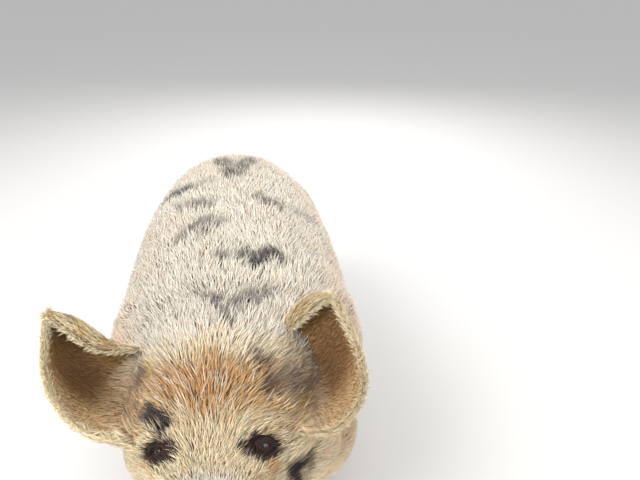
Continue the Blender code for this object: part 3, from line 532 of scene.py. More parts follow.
# Rounded masses, each a middle and radii: near the middle plane, on the left side, and on the
# head's left side in the head's frame
NECK_MIDDLE = NECK_PIVOT + Vector((-0.006, -0.075, 0.01))
MIDDLE_MASSES = (
    (NECK_MIDDLE, (0.14, 0.13, 0.144)),
    (NECK_MIDDLE + Vector((0, 0.02, -0.075)), (0.105, 0.1, 0.105)),
    ((0, -0.195, 0.28), (0.1, 0.085, 0.11)),
)
SIDE_MASSES = (
    ((0.128, -0.135, 0.37), (0.084, 0.11, 0.165)),
    ((0.112, 0.3, 0.37), (0.092, 0.13, 0.15)),
    ((0.098, -0.262, 0.33), (0.08, 0.085, 0.095)),
)
HEAD_MASSES = (
    ((0.084, 0.058, -0.052), (0.067, 0.068, 0.06)),
    ((0.056, 0.08, 0.074), (0.026, 0.022, 0.014)),
)
DEWCLAW_BED = (0.011, 0.015, 0.019)
DEWCLAW_BED_SHIFT = (-0.003, -0.01, 0.006)  # from the dewclaw: out, back and up

# Each ear's margins in the head's frame, from the head to the tip
EARS = {
    "right": (
        ((0.1, 0.094, 0.062), (0.145, 0.089, 0.101), (0.174, 0.067, 0.127),
         (0.191, 0.031, 0.151), (0.195, -0.032, 0.179)),
        ((0.088, -0.022, 0.062), (0.112, -0.026, 0.08), (0.148, -0.027, 0.107),
         (0.174, -0.036, 0.148), (0.195, -0.032, 0.179)),
    ),
    "left": (
        ((0.1, 0.086, 0.054), (0.15, 0.092, 0.066), (0.186, 0.066, 0.088),
         (0.192, 0.022, 0.108), (0.16, -0.062, 0.134)),
        ((0.072, -0.026, 0.062), (0.088, -0.032, 0.08), (0.1, -0.05, 0.1),
         (0.132, -0.066, 0.124), (0.16, -0.062, 0.134)),
    ),
}
EAR_CUP = 0.036
EAR_ROOT = 0.03  # how far the sheet goes on into the head
EAR_FOLD = 0.02
EAR_FOLD_SPAN = (0.15, 1.15)  # shares of the way to the tip
EAR_NARROWING = (0.97, 0.9, 1.3)  # how much narrower the sheet gets, from and to what share
EAR_STEPS = (8, 24)  # between a margin's points, and across
# The turned-in rear margin: steps out and down as shares of the fold, and a lift
EAR_TURN_IN = ((0.1, 0.25, 0.002), (0.32, 0.34, 0.003), (0.55, 0.4, 0.004), (0.78, 0.4, 0.0045),
               (1.0, 0.38, 0.005))

TAIL_ROWS = smooth_rows((
    (0.0, 0.438, 0.462, 0.02),
    (0.001, 0.47, 0.474, 0.019),
    (0.004, 0.494, 0.463, 0.017),
    (0.008, 0.506, 0.438, 0.0155),
    (0.012, 0.508, 0.41, 0.014),
    (0.01, 0.504, 0.383, 0.0125),
    (0.002, 0.503, 0.358, 0.011),
    (-0.008, 0.51, 0.336, 0.0095),
    (-0.012, 0.52, 0.314, 0.006),
), 6)
TAIL_FLESH = 0.82  # its radius under the hair, as a share of the whole
WATTLE_FLESH = 0.85


def mirrored(place, side):
    return Vector((side * place[0], place[1], place[2]))


def head_frame():
    """The matrix from the head's own frame (across, along, up) to the model's."""
    along = Vector((0.0, -math.cos(HEAD_TILT), -math.sin(HEAD_TILT)))
    up = Vector((0.0, -math.sin(HEAD_TILT), math.cos(HEAD_TILT)))
    axes = Matrix((Vector((1.0, 0.0, 0.0)), along, up)).transposed().to_4x4()
    turn = Matrix.Rotation(HEAD_TURN, 4, "Z") @ Matrix.Rotation(HEAD_ROLL, 4, "Y")
    to_pivot = Matrix.Translation(NECK_PIVOT)
    return to_pivot @ turn @ to_pivot.inverted() @ Matrix.Translation(OCCIPUT) @ axes


HEAD = head_frame()
HEAD_AXES = np.array(HEAD.to_3x3())
TO_HEAD = np.array(HEAD.inverted())


def in_head(points):
    """Points in the head's frame, as (across, along, up)."""
    return points @ TO_HEAD[:3, :3].T + TO_HEAD[:3, 3]


def torso_ring(y, low, high, half):
    widest = low + TORSO_WIDEST * (high - low)
    outline = section(half, high - widest, widest - low, TORSO_SQUARENESS)
    return [(x, y, widest + z) for x, z in outline]


def head_ring(along, top, widest, bottom, half, squareness):
    outline = section(half, top - widest, widest - bottom, squareness)
    return [HEAD @ Vector((x, along, widest + z)) for x, z in outline]


def leg_form(name, rows, side, foot_y):
    def ring(height, dy, dx, half_x, half_y):
        outline = section(half_x, half_y, half_y, LEG_SQUARENESS)
        return [(side * (STANCE + dx) + x, foot_y + dy + y, height) for x, y in outline]

    return shaped(name, rows, ring)


def dewclaw_place(side, outer, foot_y, shift=(0, 0, 0)):
    x = side * (STANCE + outer * (DEWCLAW_SPREAD + shift[0]))
    return Vector((x, foot_y + DEWCLAW_BACK + shift[1], DEWCLAW_HEIGHT + shift[2]))


def body_forms():
    """All the overlapping closed forms that make up the animal's flesh."""
    forms = [shaped("torso_form", TORSO_ROWS, torso_ring)]
    forms += [shaped("head_form", rows, head_ring) for rows in (SKULL_ROWS, JAW_ROWS)]
    forms += [ellipsoid("mass", place, radii) for place, radii in MIDDLE_MASSES]
    for _, side in SIDES:
        for masses, axes in ((SIDE_MASSES, Matrix.Identity(4)), (HEAD_MASSES, HEAD)):
            forms += [ellipsoid("mass", axes @ mirrored(place, side), radii) for place, radii in masses]
        for end, foot_y, rows in FEET:
            forms.append(leg_form(end + "_leg_form", rows, side, foot_y))
            for outer in (1, -1):
                bed = dewclaw_place(side, outer, foot_y, DEWCLAW_BED_SHIFT)
                forms.append(ellipsoid("dewclaw_bed", bed, DEWCLAW_BED))
    return forms


def fused_skin(forms):
    """One smooth skin over the overlapping forms."""
    bm = bmesh.new()
    for obj in forms:
        bm.from_mesh(obj.data)
    made = stored(bm, mesh_object("pig_skin", [], []))
    remove(forms)
    remesh = made.modifiers.new("fuse", "REMESH")
    remesh.mode = "VOXEL"
    remesh.voxel_size = SKIN_VOXEL
    smooth = made.modifiers.new("soften", "SMOOTH")
    smooth.factor = 0.5
    smooth.iterations = SKIN_SOFTENING
    return applied(made)


def refined(obj, places):
    """Splits the faces within each place's radius, for detail finer than the rest has."""
    bm = mesh_of(obj)
    for centre, radius in places:
        near = [f for f in bm.faces if (f.calc_center_median() - centre).length < radius]
        edges = list({edge for face in near for edge in face.edges})
        bmesh.ops.subdivide_edges(bm, edges=edges, cuts=1, use_grid_fill=True)
        smoothed(bm, [v for v in bm.verts if (v.co - centre).length < radius], REFINED_SOFTENING)
    bmesh.ops.triangulate(bm, faces=bm.faces)
    return stored(bm, obj)


# Eyes


class Eye:
    """An eye's centre and its outward, backward and upward directions."""

    def __init__(self, side_name, side):
        low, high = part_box("eye_" + side_name)
        self.name = side_name
        self.centre = (low + high) / 2 - MODEL_SHIFT
        turn = HEAD.to_3x3()
        self.outward = turn @ mirrored(EYE_OUTWARD, side).normalized()
        backward = turn @ mirrored(EYE_BACKWARD, side)
        self.backward = (backward - self.outward * backward.dot(self.outward)).normalized()
        self.upward = self.outward.cross(self.backward) * side
        if self.upward.z < 0:
            self.upward = -self.upward

    def spread(self, points):
        """Each point's distance backward, upward and outward from the centre."""
        axes = np.array([self.backward, self.upward, self.outward]).T
        return ((points - np.array(self.centre)) @ axes).T

    def margin(self, count, away):
        """Points along the edge of the lids' opening, at a distance from the centre."""
        line = []
        for k in range(count):
            angle = 2 * math.pi * k / count
            h = LID_HALF_WIDTH * math.cos(angle)
            v = (LID_UPPER if math.sin(angle) > 0 else LID_LOWER) * math.sin(angle)
            w = math.sqrt(away * away - h * h - v * v)
            line.append(self.centre + self.backward * h + self.upward * v + self.outward * w)
        return line


EYES = [Eye(side_name, side) for side_name, side in SIDES]


def lid_reach(points):
    """The distance from the middle of the nearer eye's lids, where the lids' area is an ellipse."""
    best = np.full(len(points), np.inf)
    for eye in EYES:
        h, v, w = eye.spread(points)
        reach = np.sqrt((h - LID_OFFSET) ** 2 + (v / LID_SHAPE) ** 2 + LID_DEPTH * w * w)
        best = np.minimum(best, reach)
    return best


def ragged_reach(points):
    """The same with an uneven edge, for colours."""
    depth, size = LID_RAGGED
    return lid_reach(points) + depth * waves(points, size, 38)


def with_lids(points, eye):
    """Lifts the skin over the eyeball and folds it round the opening."""
    h, v, w = eye.spread(points)
    reach = np.hypot(h, v)
    lift, radius, width = ORBIT_RIM
    sunk = w + lift * bell(reach, radius, width)
    for (height, distance, breadth), way in ((BROW_RIDGE, 1), (CHEEK_RIDGE, -1)):
        arc = np.hypot(v, RIDGE_CURVE * h) * np.sign(v) * way
        sunk += height * bell(arc, distance, breadth) * (v * way > 0)
    ball = np.sqrt(np.maximum(LID_BALL**2 - reach**2, 0))
    higher = 0.5 * (sunk + ball + np.sqrt((sunk - ball) ** 2 + LID_BLEND**2))
    lifted = graded(sunk, (higher, 1 - ramp(reach, LID_BALL * 0.85, LID_BALL * 1.25)))
    ring = np.hypot(h / LID_HALF_WIDTH, v / np.where(v > 0, LID_UPPER, LID_LOWER))
    uneven = 1 + LID_UNEVEN[0] * waves(points, LID_UNEVEN[1], 3)
    for place, fold in LID_FOLDS:
        lifted -= fold * uneven * bell(ring, place * uneven**0.3, LID_FOLD_WIDTH * place)
    near = (reach < LID_REGION[0]) & (np.abs(w) < LID_REGION[1])
    return np.where(near[:, None], points + np.outer(lifted - w, np.array(eye.outward)), points)


def distance_to_line(a, b, line):
    """The distance of each (a, b) from a polyline in the same plane."""
    best = np.full(len(a), np.inf)
    for (a0, b0), (a1, b1) in zip(line[:-1], line[1:]):
        da, db = a1 - a0, b1 - b0
        t = np.clip(((a - a0) * da + (b - b0) * db) / (da * da + db * db), 0, 1)
        best = np.minimum(best, np.hypot(a - a0 - t * da, b - b0 - t * db))
    return best


def with_mouth(points, normals):
    """Presses in the line of the mouth and raises the lips beside it."""
    _, along, up = in_head(points).T
    away = distance_to_line(along, up, smooth_rows(MOUTH_LINE, 4))
    depth, width = MOUTH_GROOVE
    height, spread, breadth = LIPS
    move = height * bell(away, spread, breadth) - (depth + height) * bell(away, 0, width)
    move *= ramp(along, 0.098, 0.116)
    return points + normals * move[:, None]


def with_nose_folds(points, normals):
    """Wrinkles across the short nose behind the disc."""
    across, along, up = in_head(points).T
    height, spacing = NOSE_FOLDS
    window = ramp(along, 0.15, 0.19) * (1 - ramp(along, 0.232, 0.24)) * ramp(up, -0.03, 0.015)
    bent = along + 0.25 * np.abs(across) + 0.0025 * waves(points, 0.03, 5)
    move = height * window * np.sin(2 * math.pi * bent / spacing)
    return points + normals * move[:, None]


def sculpt(skin):
    points, normals, _ = arrays_of(skin)
    for eye in EYES:
        points = with_lids(points, eye)
    move_points(skin, with_nose_folds(with_mouth(points, normals), normals))


def hoop(name, line, radius, sides):
    """A tube along a line that closes on itself."""
    rings = []
    middle = sum(line, Vector()) / len(line)
    for i, p in enumerate(line):
        ahead = (line[(i + 1) % len(line)] - line[i - 1]).normalized()
        out = p - middle
        out = (out - ahead * out.dot(ahead)).normalized()
        rings.append(circle(p, radius, out, ahead.cross(out), sides))
    return loft(name, rings, hoop=True)


def open_eyes(skin):
    """Cuts the opening between the lids and rounds its margins."""
    reach, length = LID_CUT
    radius, count, sides = LID_RIM
    cutters = []
    rims = []
    for eye in EYES:
        inner = [p - eye.outward * (p - eye.centre).dot(eye.outward) for p in eye.margin(count, reach)]
        cutters.append(loft("opening", [inner, [p + eye.outward * length for p in inner]]))
        rims.append(hoop("rim", eye.margin(count, EYE_RADIUS + 0.001), radius, sides))
    boolean(skin, cutters, "DIFFERENCE")
    boolean(skin, rims, "UNION")


# Ears, tail, wattles and snout


def grid_faces(height, width):
    """Four-sided faces over a grid of points, row by row."""
    starts = [r * width + k for r in range(height - 1) for k in range(width - 1)]
    return [(a, a + 1, a + 1 + width, a + width) for a in starts]


class Ear:
    """An ear's middle surface, its solid form, and where a point lies on it."""

    def __init__(self, side_name, side):
        self.name = side_name
        self.side = side
        self.rows = self.sheet(*EARS[side_name])
        self.grid = np.array([[tuple(p) for p in row] for row in self.rows])
        self.count = self.grid.shape[1]
        faces = grid_faces(len(self.rows), self.count)
        self.tree = BVHTree.FromPolygons(self.grid.reshape(-1, 3).tolist(), faces)
        forward = HEAD.to_3x3() @ Vector((side * 0.1, 1, 0.2))
        middle = Vector(self.grid[len(self.rows) // 3, EAR_STEPS[1] // 2])
        self.hollow = 1 if self.tree.find_nearest(middle)[1].dot(forward) > 0 else -1
        self.form = thick_sheet("ear_form_" + side_name, self.rows)

    def sheet(self, front, rear):
        """Rows of points from one margin to the other, in the model's frame."""
        front = [Vector(p) for p in smooth_rows(front, EAR_STEPS[0])]
        rear = [Vector(p) for p in smooth_rows(rear, EAR_STEPS[0])]
        outward = front[-1] - (front[0] + rear[0]) / 2
        back = outward.cross(front[0] - rear[0]).normalized()
        if back.y > 0:
            back = -back
        inward = -outward.normalized() * EAR_ROOT
        rows = []
        for i, (a, b) in enumerate(zip([front[0] + inward] + front, [rear[0] + inward] + rear)):
            share = max(0, i - 1) / (len(front) - 1)
            cup = EAR_CUP * math.sqrt(max(0.0, 1 - share * share))
            fold = EAR_FOLD * math.sin(math.pi * float(ramp(share, *EAR_FOLD_SPAN)))
            width = 1 - EAR_NARROWING[0] * float(ramp(share, *EAR_NARROWING[1:]))
            row = []
            for k in range(EAR_STEPS[1] + 1):
                v = 2 * k / EAR_STEPS[1] - 1
                row.append((a + b) / 2 + (b - a) / 2 * v * width + back * cup * (1 - v * v))
            edge = row[-1]
            across = (a - b if (a - b).length > 1e-4 else front[0] - rear[0]).normalized()
            for out, down, lift in EAR_TURN_IN:
                row.append(edge - back * (down * fold + lift) + across * out * fold)
            rows.append([HEAD @ mirrored(p, self.side) for p in row])
        return rows

    def places(self, points):
        """Each point's share of the way to the tip, share across, face, lie and distance."""
        count = len(points)
        share, cross, distance = np.zeros((3, count))
        tipward, marginward = np.zeros((2, count, 3))
        inner = np.zeros(count, bool)
        for i, point in enumerate(points):
            place, normal, index, distance[i] = self.tree.find_nearest(Vector(point))
            r, k = divmod(index, self.count - 1)
            share[i] = r / (len(self.rows) - 2)
            cross[i] = 2 * k / EAR_STEPS[1] - 1
            inner[i] = (Vector(point) - place).dot(normal) * self.hollow > 0
            tipward[i] = self.grid[r + 1, k] - self.grid[r, k]
            marginward[i] = self.grid[r, k] - self.grid[r, k + 1]
        return share, cross, inner, unit(tipward), unit(marginward), distance


def thick_sheet(name, rows):
    """A closed mesh over a grid of points, thinner at its free edge."""
    height, width = len(rows), len(rows[0])
    grid = [p for row in rows for p in row]
    count = len(grid)
    faces = []
    for a, b, d, c in grid_faces(height, width):
        faces += [(a, b, d), (a, d, c)]
    middle = mesh_object(name, grid, faces)
    middle.data.update()
    normals = [v.normal.copy() for v in middle.data.vertices]
    remove([middle])
    points = []
    for face_side in (1, -1):
        for i, p in enumerate(grid):
            r, k = divmod(i, width)
            to_edge = min(k, width - 1 - k, height - 1 - r) / 4
            half = (EAR_EDGE + (EAR_THICKNESS - EAR_EDGE) * min(1.0, to_edge)) / 2
            points.append(p + normals[i] * half * face_side)
    faces += [(c + count, b + count, a + count) for a, b, c in faces]
    rim = list(range(width)) + [r * width + width - 1 for r in range(1, height)]
    rim += [(height - 1) * width + k for k in range(width - 2, -1, -1)]
    rim += [r * width for r in range(height - 2, 0, -1)]
    for a, b in zip(rim, rim[1:] + rim[:1]):
        faces += [(b, a, a + count), (b, a + count, b + count)]
    return closed_mesh(name, points, faces)


def wattle_rows(side):
    root = HEAD @ mirrored(WATTLE_ROOT, side)
    last = len(WATTLE_RADII) - 1
    rows = []
    for k, radius in enumerate(WATTLE_RADII):
        drop = Vector((side * 0.002 * k, 0, 0.012 - WATTLE_LENGTH * k / last))
        rows.append((*(root + drop), radius))
    return smooth_rows(rows, 4)


def hanging_form(name, rows, share):
    return tube(name, [Vector(row[:3]) for row in rows], [row[3] * share for row in rows], 24)


# The snout's disc from its back to its front: depth and width as shares of the whole
SNOUT_PROFILE = ((-0.6, 0.78), (-0.3, 0.84), (0.0, 0.92), (0.2, 0.985), (0.45, 1.0), (0.7, 0.985),
                 (0.88, 0.94), (0.97, 0.88), (1.0, 0.8), (0.99, 0.68), (0.95, 0.5), (0.93, 0.25),
                 (0.93, 0.06))
SNOUT_PLACE = HEAD @ Matrix.Translation((0, HEAD_LENGTH, SNOUT_RISE))


def snout_form():
    """The disc at the end of the nose, with a rounded rim."""
    rings = []
    for depth, share in SNOUT_PROFILE:
        half = SNOUT_HALF_HEIGHT * share
        outline = section(SNOUT_HALF_WIDTH * share, half, half, 2.2, 72)
        rings.append([SNOUT_PLACE @ Vector((x, SNOUT_DEPTH * depth, z)) for x, z in outline])
    return loft("snout_form", rings)


def nostril_pits():
    rows = smooth_rows([(*p, r) for p, r in zip(NOSTRIL_LINE, NOSTRIL_RADII)], 4)
    radii = [row[3] for row in rows]
    return [tube("nostril", [SNOUT_PLACE @ mirrored(row, side) for row in rows], radii, 28)
            for side in (-1, 1)]


def blend_seams(skin, first, others):
    """Softens the skin where the parts joined to it meet it."""
    rounds, near = SEAM_SOFTENING
    surfaces = [surface_of(obj) for obj in others]

    def close(surface, p):
        return surface.find_nearest(p, near)[0] is not None

    bm = mesh_of(skin)
    joined = [v for v in bm.verts if any(close(surface, v.co) for surface in surfaces)]
    smoothed(bm, [v for v in joined if close(first, v.co)], rounds)
    stored(bm, skin)


# The coat's length, lie and colour at points of the skin


def coat_depth(points):
    """How far the coat's tips stand above the skin."""
    along, height = in_head(points)[:, 1], points[:, 2]
    return graded(
        HEAD_COAT_DEPTH,
        (FACE_COAT_DEPTH, ramp(along, 0.075, 0.15)),
        (MUZZLE_COAT_DEPTH, ramp(along, 0.19, 0.225)),
        (EYE_COAT_DEPTH, 1 - ramp(lid_reach(points), *LID_SHORT)),
        (COAT_DEPTH, points[:, 1] >= OCCIPUT.y + 0.05),
        (SHANK_COAT_DEPTH, 1 - ramp(height, 0.09, 0.23)),
        (FOOT_COAT_DEPTH, 1 - ramp(height, 0.03, 0.06)),
    )


def coat_density(points, normals):
    """Tufts for each square metre."""
    along, height = in_head(points)[:, 1], points[:, 2]
    ahead = points[:, 1] < OCCIPUT.y + 0.1
    density = graded(
        BACK_DENSITY,
        (BELLY_DENSITY, ramp(-normals[:, 2], 0.6, 0.9)),
        (NECK_DENSITY, ramp(-points[:, 1], 0.15, 0.21)),
        (HEAD_DENSITY, ramp(along, -0.03, 0.01) * ahead),
        (FACE_DENSITY, ramp(along, 0.07, 0.105) * ahead),
        (MUZZLE_DENSITY, ramp(along, 0.17, 0.2) * ahead),
        (LEG_DENSITY, (1 - ramp(height, 0.16, 0.26)) * (normals[:, 2] > -0.8)),
        (SHANK_DENSITY, 1 - ramp(height, 0.1, 0.17)),
    )
    disc = 1 - ramp(along, HEAD_LENGTH - 0.008, HEAD_LENGTH)
    feet = ramp(height, CORONET, CORONET + 0.004)
    return density * ramp(lid_reach(points), *LID_BARE) * disc * feet


def coat_lie(points, normals):
    """The direction in which the coat lies: from the nose back, and down the flanks."""
    across, along, up = in_head(points).T
    zeros = np.zeros(len(points))
    back = np.stack([zeros, zeros + 1, -0.55 * np.abs(normals[:, 0])], 1)
    back = mix(back, np.array((0, 0.45, -1)), 1 - ramp(points[:, 2], 0.2, 0.32))
    brow = ramp(along, -0.01, 0.04) * (1 - ramp(along, 0.1, 0.15))
    sideways = across / 0.06 * (0.45 + 0.75 * brow)
    fan = np.stack([sideways, zeros - 1, np.where(up < 0, -0.5, 0.1)], 1) @ HEAD_AXES.T
    lie = mix(unit(back), unit(fan), ramp(along, -0.16, 0.02) * (points[:, 1] < OCCIPUT.y + 0.12))
    wander = swirl(points, 0.06, 21) * np.array((1, 0.5, 1))
    return unit(flat(unit(lie) + 0.2 * wander, normals))


# Dark marks on the back: start and end (x, y), radius, strength
BACK_MARKS = (
    ((-0.026, 0.284), (0.0, 0.166), 0.017, 0.8),
    ((0.039, 0.277), (0.012, 0.155), 0.018, 0.75),
    ((-0.133, 0.151), (-0.086, 0.13), 0.015, 0.95),
    ((-0.086, 0.13), (-0.045, 0.13), 0.012, 0.6),
    ((-0.098, 0.058), (-0.041, 0.037), 0.013, 0.7),
    ((0.04, 0.055), (0.087, 0.028), 0.012, 0.75),
    ((0.087, 0.028), (0.147, 0.038), 0.011, 0.5),
    ((-0.05, -0.032), (-0.015, -0.042), 0.013, 0.75),
    ((-0.085, -0.06), (-0.063, -0.045), 0.01, 0.7),
    ((-0.063, -0.045), (-0.041, -0.078), 0.009, 0.75),
    ((-0.022, -0.133), (-0.009, -0.151), 0.008, 0.8),
    ((0.014, -0.156), (0.024, -0.131), 0.009, 0.9),
    ((0.036, -0.167), (0.066, -0.14), 0.015, 1.0),
    ((0.066, -0.14), (0.083, -0.16), 0.01, 0.75),
    ((-0.008, -0.298), (0.013, -0.273), 0.007, 0.7),
    ((0.013, -0.273), (0.049, -0.23), 0.011, 0.7),
    ((-0.008, -0.298), (-0.024, -0.248), 0.009, 0.8),
    ((-0.024, -0.248), (-0.056, -0.202), 0.01, 0.45),
)

# Marks on the head: start and end in its frame, radius, strength, colour
HEAD_MARKS = (
    ((-0.101, 0.062, 0.08), (-0.052, 0.08, 0.1), 0.0105, 1.0, BLACK),
    ((-0.06, 0.082, 0.097), (-0.038, 0.086, 0.098), 0.0065, 0.75, BLACK),
    ((0.05, 0.004, 0.126), (0.074, 0.0, 0.112), 0.014, 0.9, FRINGE),
    ((-0.105, -0.005, 0.09), (-0.095, 0.024, 0.09), 0.014, 0.75, BROWN),
    ((0.09, 0.035, 0.09), (0.118, 0.03, 0.066), 0.018, 0.7, GREY),
    ((0.066, 0.016, 0.116), (0.076, 0.044, 0.106), 0.014, 0.85, BROWN),
    ((0.099, 0.117, 0.009), (0.11, 0.124, -0.018), 0.02, 1.0, BLACK),
    ((-0.079, 0.118, 0.045), (-0.085, 0.126, 0.03), 0.012, 0.7, ORANGE),
    ((0.066, 0.124, 0.048), (0.08, 0.13, 0.036), 0.012, 0.7, ORANGE),
)


def marked(spots, start, end, radius):
    """How much of each spot lies within a stroke: 1 inside, 0 well outside."""
    start, along = np.array(start), np.array(end) - np.array(start)
    t = np.clip((spots - start) @ along / (along @ along), 0, 1)
    distance = np.linalg.norm(spots - start - t[:, None] * along, axis=1)
    return 1 - ramp(distance, radius * 0.55, radius * 1.45)


def coat_colour(points, grain):
    """The coat's colour at points of the body. grain picks dark or pale hairs within a mark."""

    def noise(size, seed):
        return waves(points, size, seed)

    local = in_head(points)
    across, along, up = local.T
    back, height = points[:, 1], points[:, 2]
    body = tinted(
        CREAM,
        (PEACH, 1 - ramp(height + 0.02 * noise(0.12, 34), 0.43, 0.585)),
        (PINKISH, 0.7 * ramp(back, 0.1, 0.3) * ramp(height, 0.35, 0.5)),
        (TAN, 0.75 * (1 - ramp(height, 0.15, 0.38))),
        (NAPE, ramp(-back, 0.08, 0.2) * ramp(height, 0.46, 0.56)),
    )
    warmth = bell(across, -0.015, 0.05) * bell(along, 0.042, 0.03)
    top = tinted(
        GINGER,
        (DEEP_GINGER, warmth * (0.6 + 0.4 * noise(0.03, 39)).clip(0, 1)),
        (POLL, 1 - ramp(along + 0.008 * noise(0.04, 40), 0.0, 0.03)),
        (CREAM, 0.75 * (grain < 0.22)),
        (BROWN, 0.7 * (grain > 0.91) * ramp(along, 0.005, 0.03)),
    )
    # pale patch on the top of the muzzle's bridge: partly white hair and partly a painted highlight
    bridge_highlight = ramp(along, 0.122, 0.145) * ramp(up, 0.01, 0.05) * (1 - ramp(np.abs(across), 0.02, 0.05))
    face = tinted(
        CHEEK,
        (TAN, 0.5 + 0.4 * noise(0.07, 36)),
        (top, ramp(up, 0.03, 0.075)),
        (mix(BROW_CREAM, GINGER, 0.55 * (grain > 0.8)),
         ramp(along + 0.01 * noise(0.03, 37), 0.06, 0.1)),
        (MUZZLE_WHITE_AND_HIGHLIGHT, bridge_highlight),
    )
    head = ramp(along + 0.01 * noise(0.05, 35), -0.03, 0.02) * (back < OCCIPUT.y + 0.06)
    colour = mix(body, face, head)
    soft = 0.006 * swirl(points, 0.03, 31)
    for start, end, radius, strength in BACK_MARKS:
        inside = marked((points + soft)[:, :2], start, end, radius) * strength * (height > 0.45)
        tint = mix(GREY, BLACK, strength * 0.8)
        colour = mix(colour, tint, inside * (0.35 + 0.65 * (grain < inside)))
    for start, end, radius, strength, tint in HEAD_MARKS:
        inside = marked(local + soft, start, end, radius) * strength
        colour = mix(colour, tint, inside * (0.45 + 0.55 * (grain < inside)))
    reach = ragged_reach(points)
    strands_share = 1 - ramp(reach, *LID_STRANDS)
    return tinted(colour, (LID_STRAND, strands_share * (grain < 0.62 * strands_share)),
                  (LID_SKIN, 1 - ramp(reach, *LID_MARK)))


# Tufts

# Arrays over many tufts. A rise is the height of a tip, and a chart its place on the UV map
Tufts = namedtuple("Tufts", "roots normals lies lengths rises widths colours charts")


def chosen(tufts, which):
    return Tufts(*(values[which] for values in tufts))


def scattered(obj, density_at, draw):
    """Random points on obj, as dense as density_at says, and the normals there."""
    points, normals, triangles = arrays_of(obj)
    corners = points[triangles]
    areas = 0.5 * np.linalg.norm(
        np.cross(corners[:, 1] - corners[:, 0], corners[:, 2] - corners[:, 0]), axis=1)
    middle_normals = unit(normals[triangles].mean(axis=1))
    expected = np.cumsum(areas * density_at(corners.mean(axis=1), middle_normals))
    count = int(expected[-1])
    steps = (np.arange(count) + draw.random(count)) * (expected[-1] / count)
    index = np.minimum(np.searchsorted(expected, steps), len(triangles) - 1)
    u, v = draw.random(count), draw.random(count)
    over = u + v > 1
    u, v = np.where(over, 1 - u, u), np.where(over, 1 - v, v)
    shares = np.stack([1 - u - v, u, v], 1)[:, :, None]
    return (corners[index] * shares).sum(axis=1), unit((normals[triangles[index]] * shares).sum(axis=1))


def clump_leaders(roots, draw):
    """For each root, the index of the nearest of a few leading ones."""
    leaders = np.sort(draw.choice(len(roots), max(1, len(roots) // CLUMP[0]), replace=False))
    tree = KDTree(len(leaders))
    for i, leader in enumerate(leaders):
        tree.insert(roots[leader], i)
    tree.balance()
    return leaders[[tree.find(root)[1] for root in roots]]


def laid(tufts, surface, draw):
    """Each tuft's middle and tip, and the surface's normal at its middle."""
    roots, lengths = tufts.roots, tufts.lengths[:, None]
    count = len(roots)
    sway = draw.normal(0, TUFT_SWAY, count)[:, None]
    side = np.cross(tufts.normals, tufts.lies)
    last = roots + unit(tufts.lies + side * sway) * lengths
    lead = clump_leaders(roots, draw)
    gathered = last[lead] + CLUMP_SPREAD * (roots - roots[lead])
    last = mix(last, gathered, CLUMP[1])
    first = mix(roots + 0.5 * (tufts.lies * lengths), (roots + last) / 2, 0.5)
    middles, tips, ups = np.empty((3, count, 3))
    for i, rise in enumerate(tufts.rises):
        place, ups[i], _, _ = surface.find_nearest(Vector(first[i]))
        middles[i] = place + Vector(ups[i]) * (TUFT_BELLY * rise)
        place, normal, _, _ = surface.find_nearest(Vector(last[i]))
        tips[i] = place + normal * rise
    return middles, tips, ups


TUFT_FACES = ((0, 2, 1), (0, 3, 2), (0, 1, 3), (1, 2, 4), (2, 3, 4), (3, 1, 4))
TUFT_ALONG = (0, 0.5, 0.5, 0.5, 1)  # of each of a tuft's points, from root to tip
TUFT_ACROSS = (0.5, 0, 0.5, 1, 0.5)


def tuft_mesh(name, tufts, middles, tips, ups, material, slot):
    """One mesh of closed, three-sided tufts, pointed at both ends."""
    count = len(tufts.roots)
    starts = tufts.roots - tufts.normals * TUFT_SINK
    wide = tufts.widths[:, None] / 2
    ahead = tips - starts
    side = unit(np.cross(ups, ahead))
    crest = unit(np.cross(ahead, side))
    points = np.stack([starts, middles + side * wide, middles + crest * wide * (2 * TUFT_CREST),
                       middles - side * wide, tips], 1)
    points += np.array(MODEL_SHIFT)
    size = points.shape[1]
    corners = np.array(TUFT_FACES).ravel()
    mesh = bpy.data.meshes.new(name)
    mesh.vertices.add(count * size)
    mesh.vertices.foreach_set("co", points.ravel())
    loops = (corners[None, :] + size * np.arange(count)[:, None]).ravel()
    mesh.loops.add(len(loops))
    mesh.loops.foreach_set("vertex_index", loops)
    mesh.polygons.add(len(loops) // 3)
    mesh.polygons.foreach_set("loop_start", np.arange(0, len(loops), 3))
    obj = new_object(name, mesh)
    paint(obj, np.repeat(tufts.colours, size, axis=0), np.tile(np.array(TUFT_ALONG, float), count))
    patch = np.stack([TUFT_ACROSS, TUFT_ALONG], 1)[corners] * UV_PATCH
    uvs = tufts.charts[:, None, :] * (1 - UV_PATCH) + patch[None, :, :]
    mesh.uv_layers.new(name="OFBake").uv.foreach_set("vector", uvs.ravel())
    mesh.update(calc_edges=True)
    mesh.shade_smooth()
    mesh.materials.append(material)
    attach(obj, "root")


def coat_pieces(name, tufts, surface, material, slot, draw):
    """The tufts as pieces of a few thousand each, every piece spread over the whole region."""
    count = len(tufts.roots)
    order = draw.permutation(count)
    for i, which in enumerate(np.array_split(order, math.ceil(count / MOST_TUFTS))):
        part = chosen(tufts, which)
        tuft_mesh(f"{name}_{i + 1}", part, *laid(part, surface, draw), material, slot)


def turned_chart(angle, share):
    """A chart's coordinates from an angle round an axis and a share of the way along it."""
    return np.stack([np.mod(angle / (2 * math.pi) + 0.5, 1), np.clip(share, 0, 1)], 1)


def quarter(chart, column, row):
    """A chart shrunk into one quarter of the square."""
    corner = np.stack(np.broadcast_arrays(column, row, chart[:, 0])[:2], 1)
    return chart * 0.48 + 0.01 + 0.5 * corner


def varied(colours, draw):
    """Colours with each tuft a little lighter, darker or warmer than its neighbours."""
    count = len(colours)
    light = np.exp(draw.normal(0, 0.11, count))[:, None]
    warm = 1 + draw.normal(0, 0.03, count)[:, None] * np.array([1, 0, -1.5])
    return np.clip(colours * light * warm, 0.004, 0.95)


